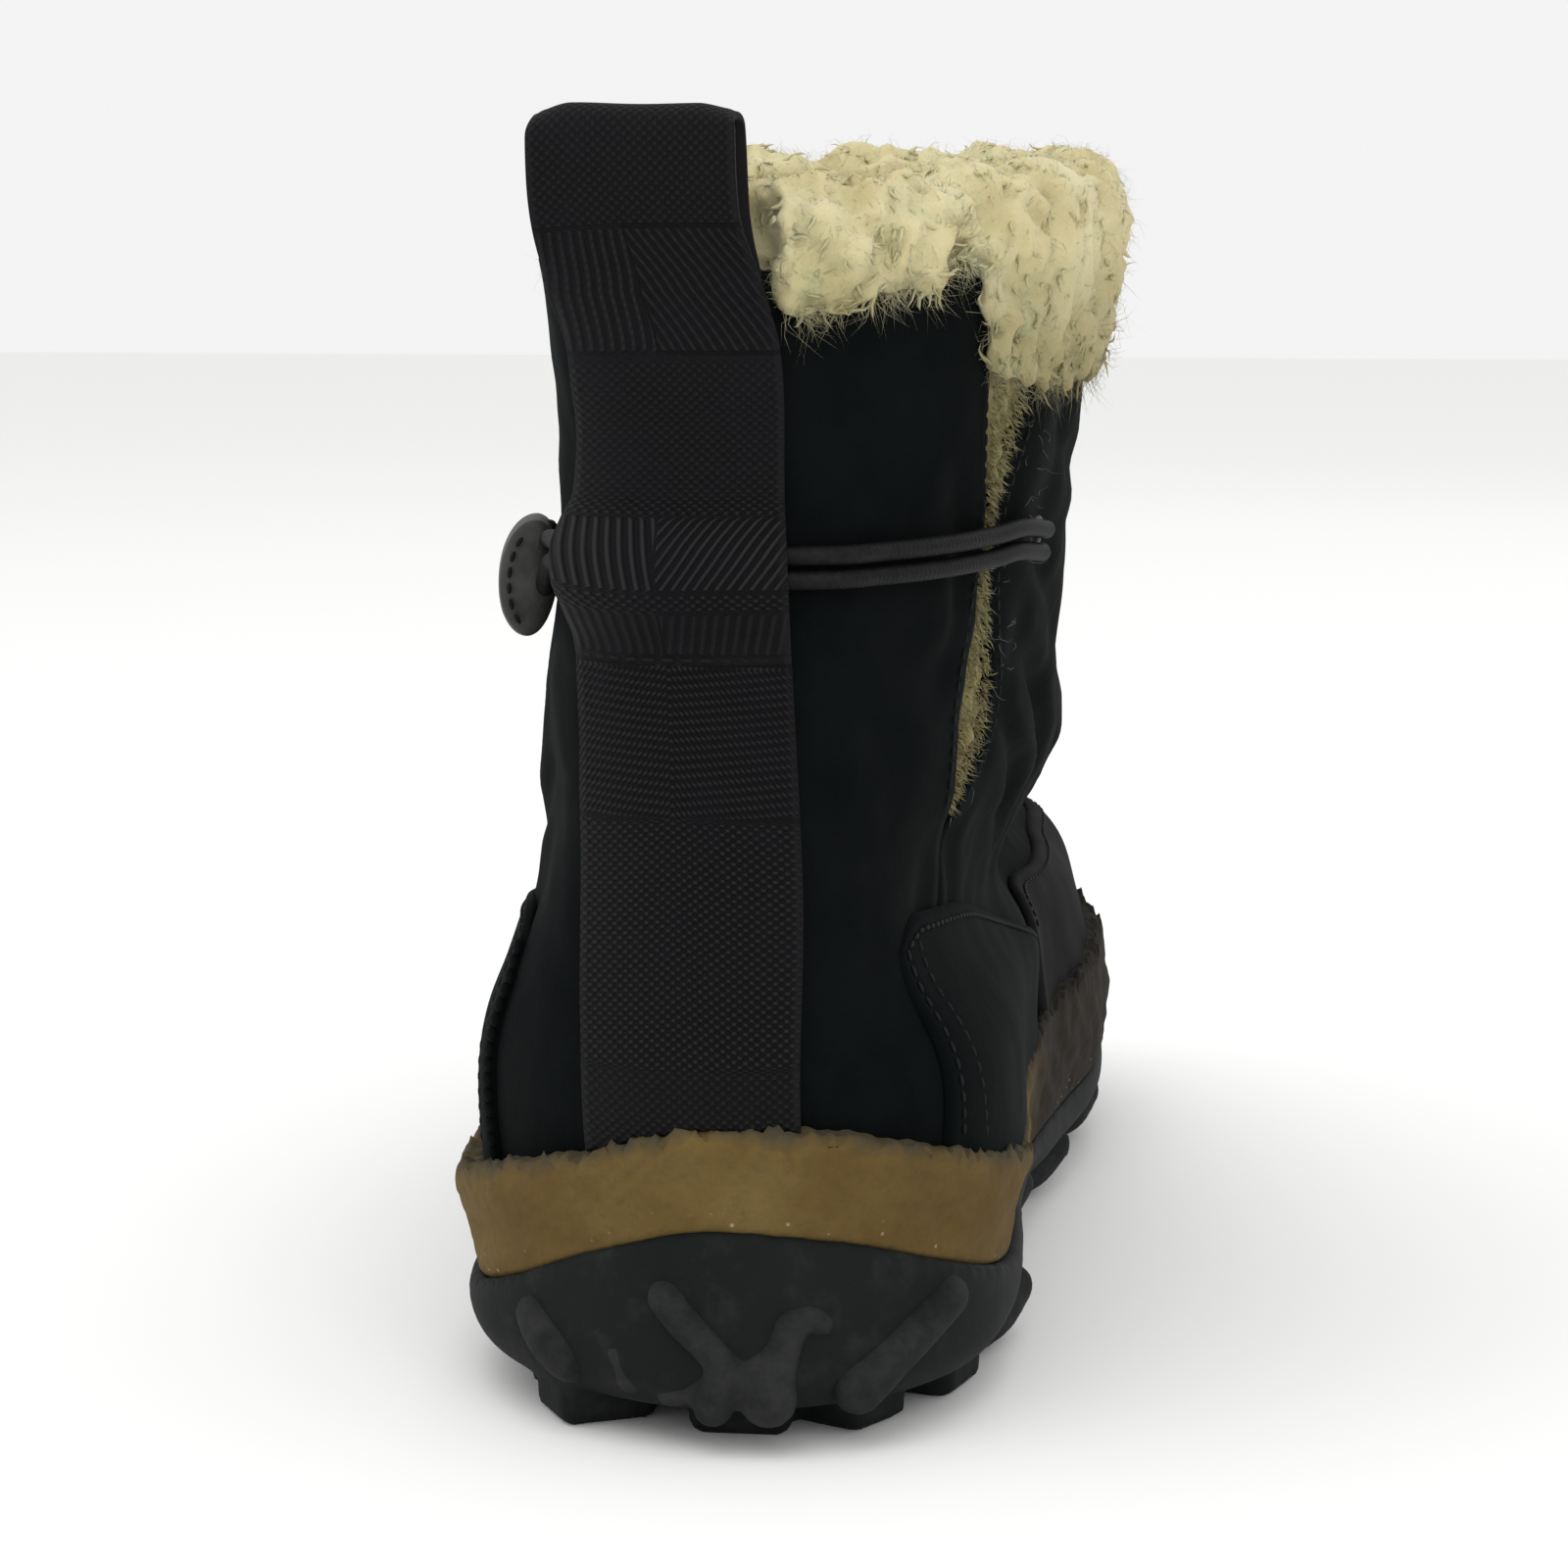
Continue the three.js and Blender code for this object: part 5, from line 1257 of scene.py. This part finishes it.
def stitches(name, line, normals, pitch, length, radius, material, lift=0.12, slant=0.0):
    """A row of stitches: rounded bars along a line on a surface, sunk at both ends"""
    run = np.concatenate([[0], np.cumsum(np.linalg.norm(np.diff(line, axis=0), axis=1))])
    at = np.arange(pitch / 2, run[-1], pitch)
    centre = np.stack([np.interp(at, run, line[:, k]) for k in range(3)], -1)
    ahead = np.stack([np.interp(at + 0.4, run, line[:, k]) for k in range(3)], -1)
    normal = unit(np.stack([np.interp(at, run, normals[:, k]) for k in range(3)], -1))
    way = unit(ahead - centre + 1e-6)
    across = unit(np.cross(normal, way))
    way = unit(way + slant * across)
    across = np.cross(normal, way)
    form = bmesh.new()
    bmesh.ops.create_uvsphere(form, u_segments=6, v_segments=5, radius=1.0)
    ball = np.array([v.co for v in form.verts])
    faces = [[v.index for v in f.verts] for f in form.faces]
    form.free()
    bulge = np.sign(ball) * np.abs(ball) ** 0.8
    rise = bulge[None, :, 1:2] * radius * 0.7 + lift - 0.5 * lift * ball[None, :, 2:3] ** 4
    points = (centre[:, None] + way[:, None] * ball[None, :, 2:3] * length / 2
              + across[:, None] * bulge[None, :, 0:1] * radius + normal[:, None] * rise)
    count = len(ball)
    whole = [[i + k * count for i in face] for k in range(len(at)) for face in faces]
    mesh = bpy.data.meshes.new(name)
    mesh.from_pydata((points.reshape(-1, 3) * MM).tolist(), [], whole)
    mesh.materials.append(material)
    mesh.shade_smooth()
    row = bpy.data.objects.new(name, mesh)
    bpy.context.scene.collection.objects.link(row)
    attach(row, "root")
    return row


def foxing_line(row, forward, up, off, steps=70):
    knots = np.arange(len(forward))
    t = np.linspace(0, knots[-1], steps)
    angle, level = foxing_spot(row, along(knots, forward, t), along(knots, up, t))
    return upper_offset(angle, level, np.full(angle.shape, off)), upper_normal(angle, level)


SEAMS = {
    "inner_rear": ("inner", (0.022, 0.020, 0.022, 0.024), (0.10, 0.4, 0.7, 0.94)),
    "inner_rear_second": ("inner", (0.065, 0.060, 0.062, 0.066), (0.10, 0.4, 0.7, 0.92)),
    "inner_top": ("inner", (0.03, 0.2, 0.5, 0.8, 0.98), (0.93, 0.94, 0.94, 0.94, 0.93)),
    "outer_top": ("outer", (0.03, 0.2, 0.5, 0.8, 0.98), (0.93, 0.94, 0.94, 0.94, 0.93)),
    "outer_rear_second": ("outer", (0.065, 0.060, 0.062, 0.066), (0.10, 0.4, 0.7, 0.92)),
}
for name, (which, forward, up) in SEAMS.items():
    line, normals = foxing_line(FOXING[which], forward, up, 1.15)
    stitches("seam_" + name, line, normals, 2.3, 1.75, 0.32, thread)
line, normals = foxing_line(FOXING["outer"], (-0.004, -0.004, -0.004), (0.06, 0.5, 0.96), 1.3, 120)
stitches("seam_outer_overcast", line, normals, 2.1, 3.0, 0.85, suede, lift=0.2, slant=1.4)
for edge, offset in (("rear", -1.9), ("front", 2.1)):
    z = np.linspace(82, 152, 90)
    place = along(SLIT["z"], SLIT[edge], z) + offset
    angle = angle_at(1, place, z)
    level = level_at(angle, z)
    line = upper_offset(angle, level, np.full(z.shape, 0.1))
    stitches("seam_slit_" + edge, line, upper_normal(angle, level), 2.3, 1.8, 0.28, thread)

STRAP_SEAMS = {"low": {"z": 105.3, "off": 2.5}, "high": {"z": 145.4, "off": 3.6}}
for name, row in STRAP_SEAMS.items():
    part = np.linspace(-0.46, 0.46, 80)
    line = strap_point(part, np.full(80, row["z"]), np.full(80, row["off"]))
    backwards = np.broadcast_to(np.array([0.0, -1.0, 0.0]), line.shape)
    stitches("seam_strap_" + name, line, backwards, 2.6, 1.9, 0.34, thread)

# The toe overlay: smooth dark leather from ball to ball round the toe, folded over at its ends.
TOE = {
    "turn": (1.60, 1.70, 1.95, 2.4, 3.14, 3.9, 4.4, 4.56),
    "top": (49, 53.5, 53, 54, 57, 55, 56, 53),
    "thick": 1.35,
}
toe_leather = finish("toe_leather", 0.8, Specular_IOR_Level=0.05)
toe_tone = mottle(toe_leather, 0.07, 5.0)
coloured(toe_leather, ramp(toe_leather, toe_tone, (0.3, (0.0035, 0.0035, 0.0042)),
                           (0.7, (0.0100, 0.0098, 0.0105))))
bumped(toe_leather, (mottle(toe_leather, 0.9, 4.0, rough=0.7), 0.4, 0.25),
       (mottle(toe_leather, 0.15), 0.3, 0.8))


def toe_face(u, v):
    angle = TOE["turn"][0] + (TOE["turn"][-1] - TOE["turn"][0]) * u
    top = along(TOE["turn"], TOE["top"], angle)
    low = side_height(angle, "Rim") - 1.5
    edge = np.minimum(np.minimum(u, 1 - u) * 230, (1 - v) * 20)
    level = level_at(angle, low + (top - low) * v)
    off = 0.3 + TOE["thick"] * np.clip(edge / 1.0, 0, 1) ** 0.5
    point = upper_point(angle, level)
    return point + upper_normal(angle, level) * (off + 0.1 * ripple(point, 12, 95))[:, None]


toe = piece("toe_cap", bent_grid("toe", 200, 36, toe_face), toe_leather, slot="toe_leather",
            replaces=["toe_overlay"])
thickened(toe, 1.1)
angle = np.linspace(TOE["turn"][0] + 0.02, TOE["turn"][-1] - 0.02, 200)
level = level_at(angle, along(TOE["turn"], TOE["top"], angle) - 2.0)
line = upper_offset(angle, level, np.full(angle.shape, 1.75))
stitches("seam_toe", line, upper_normal(angle, level), 2.6, 1.9, 0.32, thread)

# The ankle cord: one length of braided elastic, 2.7 mm thick, from a sewn ring on the inner flap
# round the heel under the strap, about the toggle and back. Lint from the fleece clings beside it.
CORD = 2.7
CORD_LEVELS = {"low": 116.0, "high": 119.2}
CORD_OFF = GAP + CORD / 2 + 0.8
CORD_RUN = {
    "side": (1, 1, 1, 1, 1, 1, -1, -1, -1),
    "place": (57.5, 48, 40, 30, 21, 14.5, 13, 20, 28),
    "lift": (0.6, 1.5, 1, 0.5, 0.2, 0, 0, 0.2, 0.4),
}
TOGGLE = {"place": 39.0, "z": 114.8, "bight": 5.2}
BRAID = {"around": 14, "along": 1100, "pitch": 2.4}


def cord_route():
    """The CAD's own stations: one run, the bight round the toggle and the run back"""
    side, place = np.array(CORD_RUN["side"]), np.array(CORD_RUN["place"], float)
    lift = np.array(CORD_RUN["lift"])
    upper_run = on_upper(side, place, CORD_LEVELS["high"] + lift, CORD_OFF)
    lower_run = on_upper(side, place, CORD_LEVELS["low"] + lift, CORD_OFF)
    turn = np.pi * (0.72 - 1.44 * np.arange(6) / 5)
    bight = on_upper(-1, TOGGLE["place"] + TOGGLE["bight"] * np.cos(turn),
                     TOGGLE["z"] + TOGGLE["bight"] * np.sin(turn), CORD_OFF)
    return np.concatenate([upper_run, bight, lower_run[::-1]])


CORD_KNOTS = cord_route()


def cord_face(u, v):
    knots = np.arange(len(CORD_KNOTS))
    read = lambda t: np.stack([along(knots, CORD_KNOTS[:, k], t) for k in range(3)], -1)
    t = v * knots[-1]
    centre = read(t)
    way = unit(read(np.minimum(t + 0.05, knots[-1])) - read(np.maximum(t - 0.05, 0)))
    out = centre - np.array([-3.0, 30.0, 118.0])
    out[:, 2] = 0
    out = unit(out - way * (out * way).sum(-1, keepdims=True))
    other = np.cross(way, out)
    run = v * 380
    braid = np.cos(3 * 2 * np.pi * u + 2 * np.pi * run / BRAID["pitch"]) * np.cos(
        3 * 2 * np.pi * u - 2 * np.pi * run / BRAID["pitch"])
    radius = CORD / 2 * (0.97 + 0.045 * braid) * (1 - 0.9 * (v < 0.0004) - 0.9 * (v > 0.9996))
    return centre + radius[:, None] * (np.cos(2 * np.pi * u)[:, None] * out
                                       + np.sin(2 * np.pi * u)[:, None] * other)


elastic = finish("elastic", 0.55, Specular_IOR_Level=0.14)
fibres = mottle(elastic, 1.2, 4.0)
coloured(elastic, ramp(elastic, fibres, (0.35, (0.0028, 0.0028, 0.0032)), (0.7, (0.0078, 0.0078, 0.0086))))
bumped(elastic, (mottle(elastic, 3.5, 2.0), 0.5, 0.1))
cord_net = bent_grid("cord", BRAID["around"], BRAID["along"], cord_face, wrap=True)
piece("ankle_elastic", cord_net, elastic, slot="elastic", replaces=["ankle_cord"])

pale_thread = finish("pale_thread", 0.8, Base_Color=(0.10, 0.105, 0.098, 1.0), Specular_IOR_Level=0.15)
ANCHOR = {"place": 59.3, "z": 118.6, "radius": 2.3}
turn = np.linspace(0, 2 * np.pi, 60)
eyelet = bmesh.new()
ring_place = ANCHOR["place"] + ANCHOR["radius"] * np.cos(turn)
ring = on_upper(1, ring_place, ANCHOR["z"] + ANCHOR["radius"] * np.sin(turn), 0.4)
beads(eyelet, ring, np.full(60, 0.34))
piece("anchor_thread", eyelet, pale_thread, slot="elastic")
random = np.random.default_rng(97)
LINT = {"count": 46, "place": 47, "long": 12, "low": 84, "high": 52, "width": 0.16}
lint_place = LINT["place"] + LINT["long"] * random.uniform(0, 1, LINT["count"])
lint_z = LINT["low"] + LINT["high"] * random.uniform(0, 1, LINT["count"])
lint_roots = on_upper(1, lint_place, lint_z, 0.2)
stray_y = random.normal(size=LINT["count"])
stray_z = random.normal(size=LINT["count"])
lint_ways = np.stack([np.full(LINT["count"], 0.3), stray_y, stray_z], -1)
lint_lengths = random.uniform(1.0, 3.4, LINT["count"])
lint = wisps("lint", lint_roots, lint_ways, lint_lengths, np.full(LINT["count"], LINT["width"]), 0.3, 0.5, 98)
lint.data.materials.append(pale_thread)

# The toggle: a tab of dark grey leather folded over the cord's bight and sewn round its edge.
TAB = {"width": 12.5, "near": 4.2, "far": 8.7, "high": 8.3, "low": 8.9}


def toggle_face(u, v):
    turn = 2 * np.pi * u
    ends = np.sin(np.pi * np.clip(v, 0, 1))
    cap = np.clip(np.minimum(v, 1 - v) / 0.12, 0, 1)
    size = np.sqrt(np.clip(1 - (1 - cap) ** 2, 0, 1))
    tall = np.where(np.sin(turn) > 0, TAB["high"], TAB["low"])
    reach = np.where(np.cos(turn) > 0, TAB["far"] - TAB["near"], TAB["near"] - 0.6)
    wide = v * TAB["width"] - TAB["width"] / 2
    z = TOGGLE["z"] - 1.0 + tall * np.sin(turn) * size * (0.92 + 0.08 * ends)
    fold = 0.35 * np.exp(-((v - 0.5) / 0.09) ** 2) * (np.cos(turn) > 0)
    off = TAB["near"] + (reach * np.cos(turn) - fold) * size
    return on_upper(-1, TOGGLE["place"] - wide, z, off)


tab_leather = finish("tab_leather", 0.5, Specular_IOR_Level=0.25, Coat_Weight=0.05, Coat_Roughness=0.4)
tab_tone = mottle(tab_leather, 0.25, 5.0)
coloured(tab_leather, ramp(tab_leather, tab_tone, (0.3, (0.012, 0.012, 0.0115)),
                           (0.7, (0.040, 0.040, 0.037))))
bumped(tab_leather, (mottle(tab_leather, 1.1, 5.0, rough=0.7), 0.5, 0.25))
piece("leather_toggle", bent_grid("toggle", 96, 48, toggle_face, wrap=True), tab_leather,
      slot="toggle_leather", replaces=["toggle"])
turn = np.linspace(-0.42 * np.pi, 0.42 * np.pi, 60)
for name, back in (("rear", -1), ("fore", 1)):
    z = TOGGLE["z"] - 1.0 + 0.78 * np.where(turn > 0, TAB["high"], TAB["low"]) * np.sin(turn)
    off = TAB["near"] + 0.72 * (TAB["far"] - TAB["near"]) * np.cos(turn)
    line = on_upper(-1, np.full(turn.shape, TOGGLE["place"] + back * (TAB["width"] / 2 - 0.15)), z, off)
    face = np.broadcast_to(np.array([0.0, float(back), 0.0]), line.shape)
    stitches("toggle_stitches_" + name, line, face, 2.2, 1.6, 0.34, thread, lift=0.2)
neck_line = on_upper(-1, np.full(9, TOGGLE["place"]), np.full(9, TOGGLE["z"]), np.linspace(0.2, 5.0, 9))
neck = bmesh.new()
beads(neck, neck_line, np.full(9, 2.9))
piece("toggle_stem", neck, tab_leather, slot="toggle_leather")
